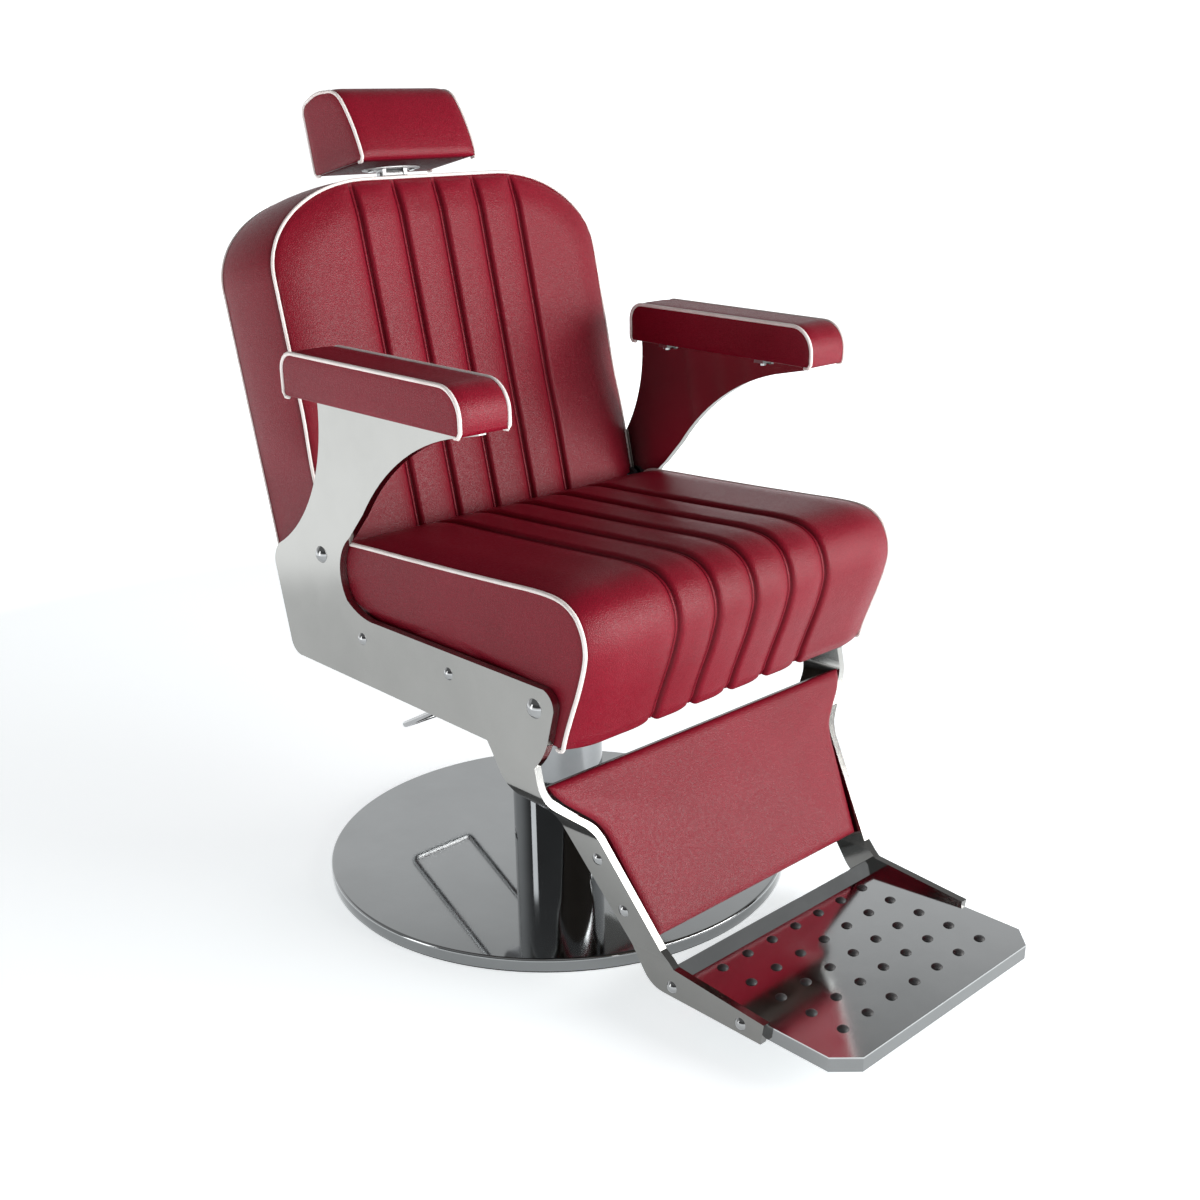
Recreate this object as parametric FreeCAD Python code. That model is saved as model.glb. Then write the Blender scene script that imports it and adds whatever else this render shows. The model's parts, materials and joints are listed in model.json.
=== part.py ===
"""Hydraulic barber chair, in millimetres.

The origin is the centre of the base's underside, on the floor. +Z is up and the sitter faces -Y.
The back and the headrest are drawn upright about the recline pin, then leaned back together.
"""
import FreeCAD, Part
import math
import os

V = FreeCAD.Vector
X_AXIS = V(1, 0, 0)
Z_AXIS = V(0, 0, 1)

# Base and pump
DISC_RADIUS = 325.0
DISC_TOP = 20.5
GASKET_HEIGHT = 3.0
COVER_RADIUS = 64.0
COVER_WALL = 2.5
COVER_TOP = 298.0
PUMP_RADIUS = 42.0
PUMP_TOP = 284.0
GLAND_TOP = 296.0
PISTON_RADIUS = 28.0
PISTON_BOTTOM = 64.0
PISTON_TOP = 334.0
SLIDING_GAP = 0.05

# Foot pedal
PEDAL_Y = 76.0
PEDAL_Z = 252.0
PEDAL_HALF_WIDTH = 57.0
PEDAL_BAR_Y = 284.0
PEDAL_BAR_Z = 135.0
PEDAL_ROD_RADIUS = 5.0
PEDAL_SHAFT_RADIUS = 7.0

# Seat frame under the cushion
PLATE_OUTER = 282.0
PLATE_THICKNESS = 10.0
PLATE_INNER = PLATE_OUTER - PLATE_THICKNESS
BAR_BOTTOM = 330.0
BAR_TOP = 345.0
REAR_BAR_Y = 43.0
FRONT_BAR_Y = -129.0
BAR_WIDTH = 60.0
SEAT_BOLT_Z = 393.0
FRONT_BOLT_Y = -282.0
SEAT_HALF_WIDTH = 269.5
SEAT_REAR = 98.0
SEAT_BOTTOM = 346.0
WOOD_HALF_WIDTH = 262.0
WOOD_FRONT = -290.0
WOOD_REAR = 88.0
WOOD_WALL = 20.0
BOARD_BOTTOM = 392.0
BOARD_TOP = 407.0

# Lower legs of the side plates, leg pad and foot plate
KNEE_Z = 277.0
BEND_RADIUS = 38.0
ANKLE_Z = 229.0
SHIN_TOP_X = 224.0
SHIN_BOTTOM_X = 200.0
FOOT_Z = 84.0
FOOT_TOP = 61.0
FOOT_HALF_WIDTH = 190.0
FOOT_REAR = -424.0
SKIRT_REAR = -406.0
FOOT_FRONT = -674.0
LEG_BOLTS = [(-313, 190), (-346, 129)]
FOOT_BOLTS = [(-419, 52), (-527, 52)]
STUD_PITCH = 45.4
STUD_FIRST_Y = -442.6

# Armrests
ARM_CENTRE = 289.0
ARM_HALF_WIDTH = 33.5
ARM_BOTTOM = 695.0
ARM_TOP = 745.0
ARM_REAR = 104.0
ARM_FRONT = -225.0
ARM_FRONT_RADIUS = 32.0
ARM_REAR_RADIUS = 20.0
TAB_WIDTH = 16.0
TAB_THICKNESS = 4.0
TAB_Y = (42.0, -136.0)

# Back, in its own upright frame: x across, n backwards from the front face, u upwards from the pin
RECLINE_Y = 119.0
RECLINE_Z = 487.0
BACK_LEAN = math.atan(0.228)
RECLINE_RANGE = 0.8
BACK_HALF_WIDTH = 269.0
BACK_BOTTOM = -12.0
BACK_TOP = 446.0
CORNER_WIDTH = 163.0
CORNER_HEIGHT = 105.0
CUSHION_FRONT = -14.0
CUSHION_REAR = 90.0
BACK_BOARD_REAR = 104.0
BACK_REAR = 120.0
BRACKET_OUTER = 269.0
BRACKET_THICKNESS = 6.0
PIN_RADIUS = 8.0

# Gas spring
SPRING_X = -100.0
SPRING_SLOPE = math.radians(25.0)
LUG_RADIUS = 64.0
SPRING_MID_LENGTH = 200.0
CYLINDER_LENGTH = 138.0
CYLINDER_RADIUS = 11.0
ROD_RADIUS = 4.0

# Release shaft and lever
RELEASE_Y = -72.0
RELEASE_Z = 357.0
RELEASE_RADIUS = 5.0

# Headrest
POST_N = 84.0
POST_WIDTH = 25.0
POST_THICKNESS = 6.0
POST_FOOT = 290.0
TILT_U = 464.0
HEAD_BOTTOM = 472.5
HEAD_HALF_WIDTH = 92.0

PARTS = "parts"
os.makedirs(PARTS, exist_ok=True)


def save(shape, name):
    shape.exportStep(os.path.join(PARTS, name + ".step"))


def box(x0, x1, y0, y1, z0, z1):
    return Part.makeBox(x1 - x0, y1 - y0, z1 - z0, V(x0, y0, z0))


def upright(radius, x, y, z0, z1):
    """A cylinder about a vertical axis."""
    return Part.makeCylinder(radius, z1 - z0, V(x, y, z0), Z_AXIS)


def crosswise(radius, y, z, x0, x1):
    """A cylinder about an axis along X."""
    return Part.makeCylinder(radius, x1 - x0, V(x0, y, z), X_AXIS)


def fuse(shapes):
    whole = shapes[0].fuse(shapes[1:])
    return whole.removeSplitter()


def profile(points, place):
    """A closed face through points. A point given as ("arc", middle, end) ends an arc."""
    edges = []
    start = last = points[0]
    for point in points[1:] + [start]:
        if point[0] == "arc":
            edges.append(Part.Arc(place(last), place(point[1]), place(point[2])).toShape())
            last = point[2]
        else:
            if place(last).distanceToPoint(place(point)) > 1e-6:
                edges.append(Part.LineSegment(place(last), place(point)).toShape())
            last = point
    return Part.Face(Part.Wire(edges))


def side_profile(points, x0, x1):
    """A solid whose outline is drawn in Y and Z, from x0 to x1."""
    face = profile(points, lambda p: V(x0, p[0], p[1]))
    return face.extrude(V(x1 - x0, 0, 0))


def mirror(shape):
    """The same shape on the other side of the chair."""
    return shape.mirror(V(0, 0, 0), X_AXIS)


def both_sides(shape):
    return Part.makeCompound([shape, mirror(shape)])


def lean(shape):
    """Takes a shape from the back's upright frame to its place on the chair."""
    placed = shape.copy()
    placed.rotate(V(0, 0, 0), X_AXIS, -math.degrees(BACK_LEAN))
    placed.translate(V(0, RECLINE_Y, RECLINE_Z))
    return placed


def dome_bolt(head, shank, length):
    """A bolt along X whose domed head stands on the plane x = 0."""
    height = 0.55 * head
    ball_radius = (head * head + height * height) / (2 * height)
    ball = Part.makeSphere(ball_radius, V(height - ball_radius, 0, 0))
    dome = ball.common(crosswise(head, 0, 0, 0, height))
    return fuse([dome, crosswise(shank, 0, 0, -length, 0)])


def put(shape, x, y, z, tilt=0.0):
    """Moves a shape made at the origin to a point, turned about Y by a tilt in radians."""
    placed = shape.copy()
    placed.rotate(V(0, 0, 0), V(0, 1, 0), math.degrees(tilt))
    placed.translate(V(x, y, z))
    return placed


def offset_line(points, distance):
    """An open line of (x, z) points shifted sideways by a distance."""
    shifted = []
    for start, end in zip(points[:-1], points[1:]):
        dx = end[0] - start[0]
        dz = end[1] - start[1]
        length = math.hypot(dx, dz)
        side = (dz / length * distance, -dx / length * distance)
        shifted.append(((start[0] + side[0], start[1] + side[1]), (dx / length, dz / length)))
    result = [shifted[0][0]]
    for (point, way), (next_point, next_way) in zip(shifted[:-1], shifted[1:]):
        cross = way[0] * next_way[1] - way[1] * next_way[0]
        gap = (next_point[0] - point[0], next_point[1] - point[1])
        run = (gap[0] * next_way[1] - gap[1] * next_way[0]) / cross
        result.append((point[0] + way[0] * run, point[1] + way[1] * run))
    last_side = (shifted[-1][0][0] - points[-2][0], shifted[-1][0][1] - points[-2][1])
    result.append((points[-1][0] + last_side[0], points[-1][1] + last_side[1]))
    return result


# ---------------------------------------------------------------- base and pump
def base():
    save(upright(DISC_RADIUS - 3, 0, 0, 0, GASKET_HEIGHT), "base_gasket")

    disc = upright(DISC_RADIUS, 0, 0, GASKET_HEIGHT, DISC_TOP)
    top_rim = [e for e in disc.Edges if e.BoundBox.ZMin > DISC_TOP - 0.01]
    disc = disc.makeFillet(2.5, top_rim)
    bolt_circle = 51.0
    bolts = []
    for turn in range(4):
        angle = math.radians(45 + 90 * turn)
        x = bolt_circle * math.cos(angle)
        y = bolt_circle * math.sin(angle)
        disc = disc.cut(upright(4, x, y, GASKET_HEIGHT, DISC_TOP))
        head = Part.makePolygon(
            [V(x + 6.5 * math.cos(k * math.pi / 3), y + 6.5 * math.sin(k * math.pi / 3), DISC_TOP + 8)
             for k in range(7)]
        )
        head = Part.Face(head).extrude(V(0, 0, 5))
        bolts.append(fuse([head, upright(4, x, y, GASKET_HEIGHT + 2, DISC_TOP + 8)]))
    save(disc, "base_disc")
    save(Part.makeCompound(bolts), "pump_bolts")

    flange = upright(60, 0, 0, DISC_TOP, DISC_TOP + 8)
    for bolt in bolts:
        flange = flange.cut(bolt)
    pump = fuse([flange, upright(PUMP_RADIUS, 0, 0, DISC_TOP, PUMP_TOP)])
    pump = pump.cut(upright(PISTON_RADIUS + 4, 0, 0, DISC_TOP + 8, PUMP_TOP))
    save(pump, "pump_cylinder")

    bore = PISTON_RADIUS + SLIDING_GAP
    gland = fuse([
        upright(PUMP_RADIUS, 0, 0, PUMP_TOP, GLAND_TOP),
        upright(PISTON_RADIUS + 4, 0, 0, PUMP_TOP - 30, PUMP_TOP),
    ])
    save(gland.cut(upright(bore, 0, 0, PUMP_TOP - 30, GLAND_TOP)), "pump_gland")

    cover = upright(COVER_RADIUS, 0, 0, DISC_TOP, COVER_TOP)
    cover = cover.cut(upright(COVER_RADIUS - COVER_WALL, 0, 0, DISC_TOP, COVER_TOP))
    housing = pedal_housing()
    opening = box(-34, 34, 40, 80, PEDAL_Z - 30, PEDAL_Z + 30)
    save(cover.cut(opening), "column_cover")
    save(housing.cut(upright(COVER_RADIUS, 0, 0, 0, 400).cut(opening)), "pedal_housing")

    bezel = fuse([
        upright(COVER_RADIUS, 0, 0, COVER_TOP, COVER_TOP + 4),
        upright(COVER_RADIUS - COVER_WALL, 0, 0, COVER_TOP - 2, COVER_TOP),
    ])
    save(bezel.cut(upright(PISTON_RADIUS + 1.5, 0, 0, COVER_TOP - 2, COVER_TOP + 4)), "column_bezel")


def pedal_housing():
    """The block behind the column that carries the pedal's shaft."""
    block = side_profile(
        [
            (PUMP_RADIUS + 2, PEDAL_Z - 26),
            (PEDAL_Y, PEDAL_Z - 26),
            ("arc", (PEDAL_Y + 22, PEDAL_Z), (PEDAL_Y, PEDAL_Z + 22)),
            (PUMP_RADIUS + 2, PEDAL_Z + 22),
        ],
        -33,
        33,
    )
    block = block.cut(upright(PUMP_RADIUS, 0, 0, 0, 400))
    return block.cut(crosswise(PEDAL_SHAFT_RADIUS + SLIDING_GAP, PEDAL_Y, PEDAL_Z, -33, 33))


def pedal():
    """A U of round rod whose two ends are clamped on the pump's shaft."""
    shaft = crosswise(PEDAL_SHAFT_RADIUS, PEDAL_Y, PEDAL_Z, -64, 64)
    save(shaft, "pedal_shaft")

    run_y = PEDAL_BAR_Y - PEDAL_Y
    run_z = PEDAL_BAR_Z - PEDAL_Z
    length = math.hypot(run_y, run_z)
    bend = 9.0
    start = 9.0
    half = PEDAL_HALF_WIDTH
    rod = [Part.makeCylinder(PEDAL_ROD_RADIUS, 2 * (half - bend), V(bend - half, length, 0), X_AXIS)]
    for side in (-1, 1):
        leg = Part.makeCylinder(PEDAL_ROD_RADIUS, length - bend - start, V(side * half, start, 0), V(0, 1, 0))
        rod.append(leg)
        section = Part.Circle(V(side * half, length - bend, 0), V(0, 1, 0), PEDAL_ROD_RADIUS)
        section = Part.Face(Part.Wire(section.toShape()))
        rod.append(section.revolve(V(side * (half - bend), length - bend, 0), V(0, 0, side), 90))
    rod = fuse(rod)
    rod.rotate(V(0, 0, 0), X_AXIS, math.degrees(math.atan2(run_z, run_y)))
    rod.translate(V(0, PEDAL_Y, PEDAL_Z))
    hubs = [crosswise(12, PEDAL_Y, PEDAL_Z, x - 7, x + 7) for x in (-half, half)]
    frame = fuse([rod] + hubs).cut(shaft)
    screws = []
    for x in (-half, half):
        frame = frame.cut(upright(2.5, x, PEDAL_Y, PEDAL_Z, PEDAL_Z + 13))
        screws.append(upright(2.5, x, PEDAL_Y, PEDAL_Z + PEDAL_SHAFT_RADIUS, PEDAL_Z + 12.5))
    save(frame, "pedal_rod")
    save(Part.makeCompound(screws), "pedal_screws")


def piston():
    save(upright(PISTON_RADIUS, 0, 0, PISTON_BOTTOM, PISTON_TOP), "lift_piston")
    save(upright(PISTON_RADIUS - 1, 0, 0, PISTON_TOP, PISTON_TOP + 4), "swivel_washer")


# ---------------------------------------------------------------- seat frame
def seat_frame():
    hub = upright(45, 0, 0, 304, BAR_TOP - 1)
    hub = hub.cut(upright(PISTON_RADIUS + SLIDING_GAP, 0, 0, 304, PISTON_TOP + 4))
    plate = box(-130, 130, -155, 70, BAR_BOTTOM - 8, BAR_BOTTOM).cut(upright(45, 0, 0, 300, 350))
    save(hub, "turret_hub")

    bars = []
    for y in (REAR_BAR_Y, FRONT_BAR_Y):
        bar = box(-PLATE_INNER, PLATE_INNER, y - BAR_WIDTH / 2, y + BAR_WIDTH / 2, BAR_BOTTOM, BAR_TOP)
        hollow = box(-260, 260, y - 27, y + 27, BAR_BOTTOM + 3, BAR_TOP - 3)
        bar = bar.cut(hollow).cut(upright(45, 0, 0, 300, 350))
        tab = box(PLATE_INNER - 6, PLATE_INNER, y - 25, y + 25, BAR_TOP, SEAT_BOLT_Z + 17)
        tab = tab.cut(crosswise(5, y, SEAT_BOLT_Z, 250, 300))
        bars.append(fuse([bar, tab, mirror(tab)]))
    bolts = []
    for x in (-105, 105):
        for y in (REAR_BAR_Y, FRONT_BAR_Y):
            bolt = fuse([
                upright(7, x, y, BAR_BOTTOM - 13, BAR_BOTTOM - 8),
                upright(4, x, y, BAR_BOTTOM - 8, BAR_BOTTOM + 3),
            ])
            bolts.append(bolt)
            plate = plate.cut(bolt)
            bars = [bar.cut(bolt) for bar in bars]
    save(plate, "turret_plate")
    save(Part.makeCompound(bars), "seat_crossbars")
    save(Part.makeCompound(bolts), "turret_bolts")


def leg_section():
    """The bent sheet of a side plate: flat side, knee, leaning shin, then the upright foot bracket."""
    outer = [
        (PLATE_OUTER, 720),
        (PLATE_OUTER, KNEE_Z),
        (SHIN_TOP_X, ANKLE_Z),
        (SHIN_BOTTOM_X, FOOT_Z),
        (SHIN_BOTTOM_X, 30),
    ]
    inner = offset_line(outer, PLATE_THICKNESS)
    length = 900
    face = profile(outer + inner[::-1], lambda p: V(p[0], -620, p[1]))
    sheet = face.extrude(V(0, length, 0))
    wide = BEND_RADIUS + PLATE_THICKNESS
    knee = [(outer[1], wide), (inner[1], BEND_RADIUS)]
    ankle = [(outer[2], BEND_RADIUS), (inner[2], wide)]
    for corner, radius in knee + ankle:
        bend = [edge for edge in sheet.Edges if runs_along_y(edge, corner)]
        sheet = sheet.makeFillet(radius, bend)
    return sheet


def runs_along_y(edge, corner):
    """Whether an edge is the straight line that stands on a corner given in X and Z."""
    room = edge.BoundBox
    at_corner = math.hypot(room.XMin - corner[0], room.ZMin - corner[1]) < 1
    return at_corner and room.YLength > 100


def side_plate():
    """One 10 mm side plate: arm support, seat side, knee, shin and foot bracket in one piece."""
    upper = [
        (-206, 688),
        (-152, 676),
        ("arc", (-48, 627), (22, 557)),
        (55, 521),
        ("arc", (80, 479), (70, 437.5)),
        ("arc", (47, 425), (12, 420)),
        (-298, 420),
        ("arc", (-310, 412), (-314, 396)),
        (-302, 353),
        ("arc", (-292, 334), (-279, 318)),
        (-289, 275),
        (-301, 250),
        (-320, 221),
        (-402, 95),
        (-422, 77),
        (-562, 66),
        (-558, 39),
        (-404, 39),
        ("arc", (-387, 43), (-373, 55)),
        (-253, 224),
        (-223, 284),
        ("arc", (-212, 304), (-196, 328)),
        (184, 334),
        ("arc", (202, 340), (208, 352)),
        (229.5, 454),
        ("arc", (226, 470), (214, 483)),
        ("arc", (158, 526), (131, 562)),
        ("arc", (106, 622), (100, 695)),
        (-206, 695),
    ]
    plate = leg_section().common(side_profile(upper, 150, 320))
    holes = [crosswise(5, y, SEAT_BOLT_Z, 150, 320) for y in (REAR_BAR_Y, FRONT_BAR_Y)]
    holes.append(crosswise(6, FRONT_BOLT_Y, SEAT_BOLT_Z, 150, 320))
    holes.append(crosswise(PIN_RADIUS, RECLINE_Y, RECLINE_Z, 150, 320))
    holes += [put(crosswise(4, 0, 0, -40, 20), shin_x(z), y, z, shin_tilt()) for y, z in LEG_BOLTS]
    holes += [crosswise(4, y, z, 150, 320) for y, z in FOOT_BOLTS]
    return plate.cut(Part.makeCompound(holes))


def shin_tilt():
    """How far the shin leans in at its foot."""
    return math.atan2(SHIN_TOP_X - SHIN_BOTTOM_X, ANKLE_Z - FOOT_Z)


def shin_x(z):
    """The outer face of the shin at a height."""
    share = (z - FOOT_Z) / (ANKLE_Z - FOOT_Z)
    return SHIN_BOTTOM_X + share * (SHIN_TOP_X - SHIN_BOTTOM_X)


def side_plates():
    plate = side_plate()
    release_hole = crosswise(RELEASE_RADIUS + SLIDING_GAP, RELEASE_Y, RELEASE_Z, 250, 300)
    save(plate.cut(release_hole), "side_plate_left")
    save(mirror(plate), "side_plate_right")

    reach = PLATE_OUTER - WOOD_HALF_WIDTH + 14
    seat_bolts = []
    for y in (REAR_BAR_Y, FRONT_BAR_Y):
        seat_bolts.append(both_sides(put(dome_bolt(8, 5, reach), PLATE_OUTER, y, SEAT_BOLT_Z)))
    front = put(dome_bolt(12, 6, reach), PLATE_OUTER, FRONT_BOLT_Y, SEAT_BOLT_Z)
    shoulder = put(dome_bolt(11, PIN_RADIUS, 32), PLATE_OUTER, RECLINE_Y, RECLINE_Z)
    nut = crosswise(12, RECLINE_Y, RECLINE_Z, 253, 262).cut(shoulder)
    leg_bolts = []
    for y, z in LEG_BOLTS:
        leg_bolts.append(both_sides(put(dome_bolt(8, 4, 30), shin_x(z), y, z, shin_tilt())))
    foot_bolts = []
    for y, z in FOOT_BOLTS:
        foot_bolts.append(both_sides(put(dome_bolt(8, 4, 16), SHIN_BOTTOM_X, y, z)))
    save(Part.makeCompound(seat_bolts), "seat_bolts")
    save(both_sides(front), "front_bolts")
    save(Part.makeCompound([both_sides(shoulder), both_sides(nut)]), "recline_bolts")
    save(Part.makeCompound(leg_bolts), "leg_bolts")
    save(Part.makeCompound(foot_bolts), "foot_bolts")


# ---------------------------------------------------------------- seat
def seat():
    ring = box(-WOOD_HALF_WIDTH, WOOD_HALF_WIDTH, WOOD_FRONT, WOOD_REAR, BAR_TOP, BOARD_BOTTOM)
    hollow = box(
        -WOOD_HALF_WIDTH + WOOD_WALL, WOOD_HALF_WIDTH - WOOD_WALL,
        WOOD_FRONT + WOOD_WALL, WOOD_REAR - WOOD_WALL, BAR_TOP, BOARD_BOTTOM,
    )
    ring = ring.cut(hollow)
    board = box(-WOOD_HALF_WIDTH, WOOD_HALF_WIDTH, WOOD_FRONT, WOOD_REAR, BOARD_BOTTOM, BOARD_TOP)
    spring_way = box(SPRING_X - 17, SPRING_X + 17, 14, SEAT_REAR + 2, BAR_TOP, 436)
    bolt_holes = []
    for y, radius in ((REAR_BAR_Y, 5.2), (FRONT_BAR_Y, 5.2), (FRONT_BOLT_Y, 6.2)):
        bolt_holes.append(crosswise(radius, y, SEAT_BOLT_Z, 240, 275))
        bolt_holes.append(crosswise(radius, y, SEAT_BOLT_Z, -275, -240))
    bolt_holes.append(crosswise(RELEASE_RADIUS + 1, RELEASE_Y, RELEASE_Z, 230, 275))
    bolt_holes = Part.makeCompound(bolt_holes)
    save(ring.cut(spring_way).cut(bolt_holes), "seat_frame")
    save(board.cut(spring_way).cut(bolt_holes), "seat_board")

    outline = [
        (SEAT_REAR, SEAT_BOTTOM),
        (SEAT_REAR, 496),
        ("arc", (SEAT_REAR - 5, 508), (SEAT_REAR - 18, 513)),
        (-294, 532),
        ("arc", (-342, 517), (-357, 476)),
        (-315, SEAT_BOTTOM + 3),
    ]
    cushion = side_profile(outline, -SEAT_HALF_WIDTH, SEAT_HALF_WIDTH)
    cushion = cushion.cut(box(-WOOD_HALF_WIDTH, WOOD_HALF_WIDTH, WOOD_FRONT, WOOD_REAR, 340, BOARD_TOP))
    for y in (REAR_BAR_Y, FRONT_BAR_Y):
        for side in (-1, 1):
            x0, x1 = sorted((side * WOOD_HALF_WIDTH, side * 275))
            cushion = cushion.cut(box(x0, x1, y - 26, y + 26, 340, SEAT_BOLT_Z + 18))
    save(cushion.cut(spring_way).cut(bolt_holes), "seat_cushion")


# ---------------------------------------------------------------- armrests
def armrests():
    rear_cut = ARM_REAR_RADIUS * (1 - math.sqrt(0.5))
    front_cut = ARM_FRONT_RADIUS * (1 - math.sqrt(0.5))
    outline = [
        (ARM_REAR, ARM_BOTTOM),
        (ARM_REAR, ARM_TOP - ARM_REAR_RADIUS),
        ("arc", (ARM_REAR - rear_cut, ARM_TOP - rear_cut), (ARM_REAR - ARM_REAR_RADIUS, ARM_TOP)),
        (ARM_FRONT + ARM_FRONT_RADIUS, ARM_TOP),
        ("arc", (ARM_FRONT + front_cut, ARM_TOP - front_cut), (ARM_FRONT, ARM_TOP - ARM_FRONT_RADIUS)),
        (ARM_FRONT, ARM_BOTTOM),
    ]
    inner = ARM_CENTRE - ARM_HALF_WIDTH
    outer = ARM_CENTRE + ARM_HALF_WIDTH
    pad = side_profile(outline, inner, outer)
    board = box(inner + 4, outer - 4, ARM_FRONT + 12, ARM_REAR - 12, ARM_BOTTOM, ARM_BOTTOM + 12)
    tabs = []
    screws = []
    tab_bottom = ARM_BOTTOM - TAB_THICKNESS
    half_tab = TAB_WIDTH / 2
    screw_x = PLATE_INNER - half_tab
    for y in TAB_Y:
        tab = box(PLATE_INNER - TAB_WIDTH, PLATE_INNER, y - half_tab, y + half_tab, tab_bottom, ARM_BOTTOM)
        screw = fuse([
            upright(5, screw_x, y, tab_bottom - 3.5, tab_bottom),
            upright(2.5, screw_x, y, tab_bottom, ARM_BOTTOM + 10),
        ])
        tabs.append(tab.cut(screw))
        screws.append(screw)
        board = board.cut(screw)
    pad = pad.cut(box(inner + 4, outer - 4, ARM_FRONT + 12, ARM_REAR - 12, ARM_BOTTOM, ARM_BOTTOM + 12))
    for name, place in (("left", lambda s: s), ("right", mirror)):
        save(place(pad), "arm_pad_" + name)
        save(place(board), "arm_board_" + name)
    save(Part.makeCompound([both_sides(t) for t in tabs]), "arm_tabs")
    save(Part.makeCompound([both_sides(s) for s in screws]), "arm_screws")


# ---------------------------------------------------------------- leg pad and foot plate
def leg_rest():
    """The pad between the shins leans forward at its foot and narrows with the side plates."""
    front_top = V(0, -286, 293)
    front_bottom = V(0, -389, 105)
    length = front_bottom.distanceToPoint(front_top)
    down = (front_bottom - front_top).normalize()
    back_way = V(0, -down.z, down.y)
    half_widths = [
        (0, 265.5),
        (12, 258.5),
        (26, 244),
        (43.5, 225.5),
        (50, 220),
        (58.5, 214.5),
        (67, 211),
        (77, 208.5),
        (length, 188.5),
    ]

    def slab(near, far, inset):
        right = [(width - inset, distance) for distance, width in half_widths]
        left = [(-width, distance) for width, distance in right[::-1]]
        face = profile(right + left, lambda p: front_top + V(p[0], 0, 0) + down * p[1] + back_way * near)
        return face.extrude(back_way * (far - near))

    save(slab(0, 19, 0), "leg_pad")
    board = slab(19, 33, 10)
    for y, z in LEG_BOLTS:
        board = board.cut(both_sides(put(crosswise(4, 0, 0, -40, 20), shin_x(z), y, z, shin_tilt())))
    save(board, "leg_board")


def foot_rest():
    edge = 27.0
    outline = [
        (-FOOT_HALF_WIDTH, FOOT_REAR), (FOOT_HALF_WIDTH, FOOT_REAR),
        (FOOT_HALF_WIDTH, FOOT_FRONT + edge), (FOOT_HALF_WIDTH - edge, FOOT_FRONT),
        (edge - FOOT_HALF_WIDTH, FOOT_FRONT), (-FOOT_HALF_WIDTH, FOOT_FRONT + edge),
    ]
    wall = 3.0
    skirt = 19.0

    def slab(inset, bottom, top):
        points = []
        for x, y in outline:
            x = x - inset if x > 0 else x + inset
            y = y - inset if y > -500 else y + inset
            points.append((x, y))
        face = profile(points, lambda p: V(p[0], p[1], bottom))
        return face.extrude(V(0, 0, top - bottom))

    tray = slab(0, FOOT_TOP - skirt, FOOT_TOP).cut(slab(wall, FOOT_TOP - skirt, FOOT_TOP - wall))
    lip = side_profile(
        [
            (FOOT_REAR, FOOT_TOP - wall),
            (FOOT_REAR + 14, FOOT_TOP + 10),
            (FOOT_REAR + 11, FOOT_TOP + 12),
            (FOOT_REAR - 4, FOOT_TOP),
        ],
        -FOOT_HALF_WIDTH,
        FOOT_HALF_WIDTH,
    )
    inside = FOOT_HALF_WIDTH - wall
    skirt_tail = box(inside, FOOT_HALF_WIDTH, FOOT_REAR, SKIRT_REAR, FOOT_TOP - skirt, FOOT_TOP - wall)
    tray = fuse([tray, lip, skirt_tail, mirror(skirt_tail)])
    bolt_holes = []
    for y, z in FOOT_BOLTS:
        bolt_holes.append(crosswise(4, y, z, -FOOT_HALF_WIDTH - 5, -FOOT_HALF_WIDTH + 10))
        bolt_holes.append(crosswise(4, y, z, FOOT_HALF_WIDTH - 10, FOOT_HALF_WIDTH + 5))
    tray = tray.cut(Part.makeCompound(bolt_holes))

    studs = []
    stems = []
    for column in range(-3, 4):
        for row in range(5):
            x = column * STUD_PITCH
            y = STUD_FIRST_Y - row * STUD_PITCH
            ball = Part.makeSphere(9.0, V(x, y, FOOT_TOP - 5.0))
            dome = ball.common(upright(7, x, y, FOOT_TOP, FOOT_TOP + 8))
            stem = upright(3, x, y, FOOT_TOP - wall, FOOT_TOP)
            stems.append(stem)
            studs.append(fuse([dome, stem]))
    save(tray.cut(Part.makeCompound(stems)), "foot_plate")
    save(Part.makeCompound(studs), "foot_studs")


# ---------------------------------------------------------------- back
def back_outline(half_width, bottom, top, inset=0.0):
    """The back seen from the front: straight sides and wide elliptical top corners."""
    a = CORNER_WIDTH - inset
    b = CORNER_HEIGHT - inset
    centre = V(half_width - a, 0, top - b)
    edges = [Part.LineSegment(V(-half_width, 0, bottom), V(half_width, 0, bottom)).toShape()]
    edges.append(Part.LineSegment(V(half_width, 0, bottom), V(half_width, 0, top - b)).toShape())
    ellipse = Part.Ellipse(centre + V(a, 0, 0), centre + V(0, 0, b), centre)
    corner = Part.ArcOfEllipse(ellipse, 0, math.pi / 2).toShape()
    edges.append(corner)
    edges.append(Part.LineSegment(V(half_width - a, 0, top), V(a - half_width, 0, top)).toShape())
    edges.append(corner.mirror(V(0, 0, 0), X_AXIS))
    edges.append(Part.LineSegment(V(-half_width, 0, top - b), V(-half_width, 0, bottom)).toShape())
    return Part.Face(Part.Wire(Part.__sortEdges__(edges)))


def back_slab(n0, n1, half_width, bottom, top, inset=0.0):
    slab = back_outline(half_width, bottom, top, inset).extrude(V(0, n1 - n0, 0))
    slab.translate(V(0, n0, 0))
    return slab


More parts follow.
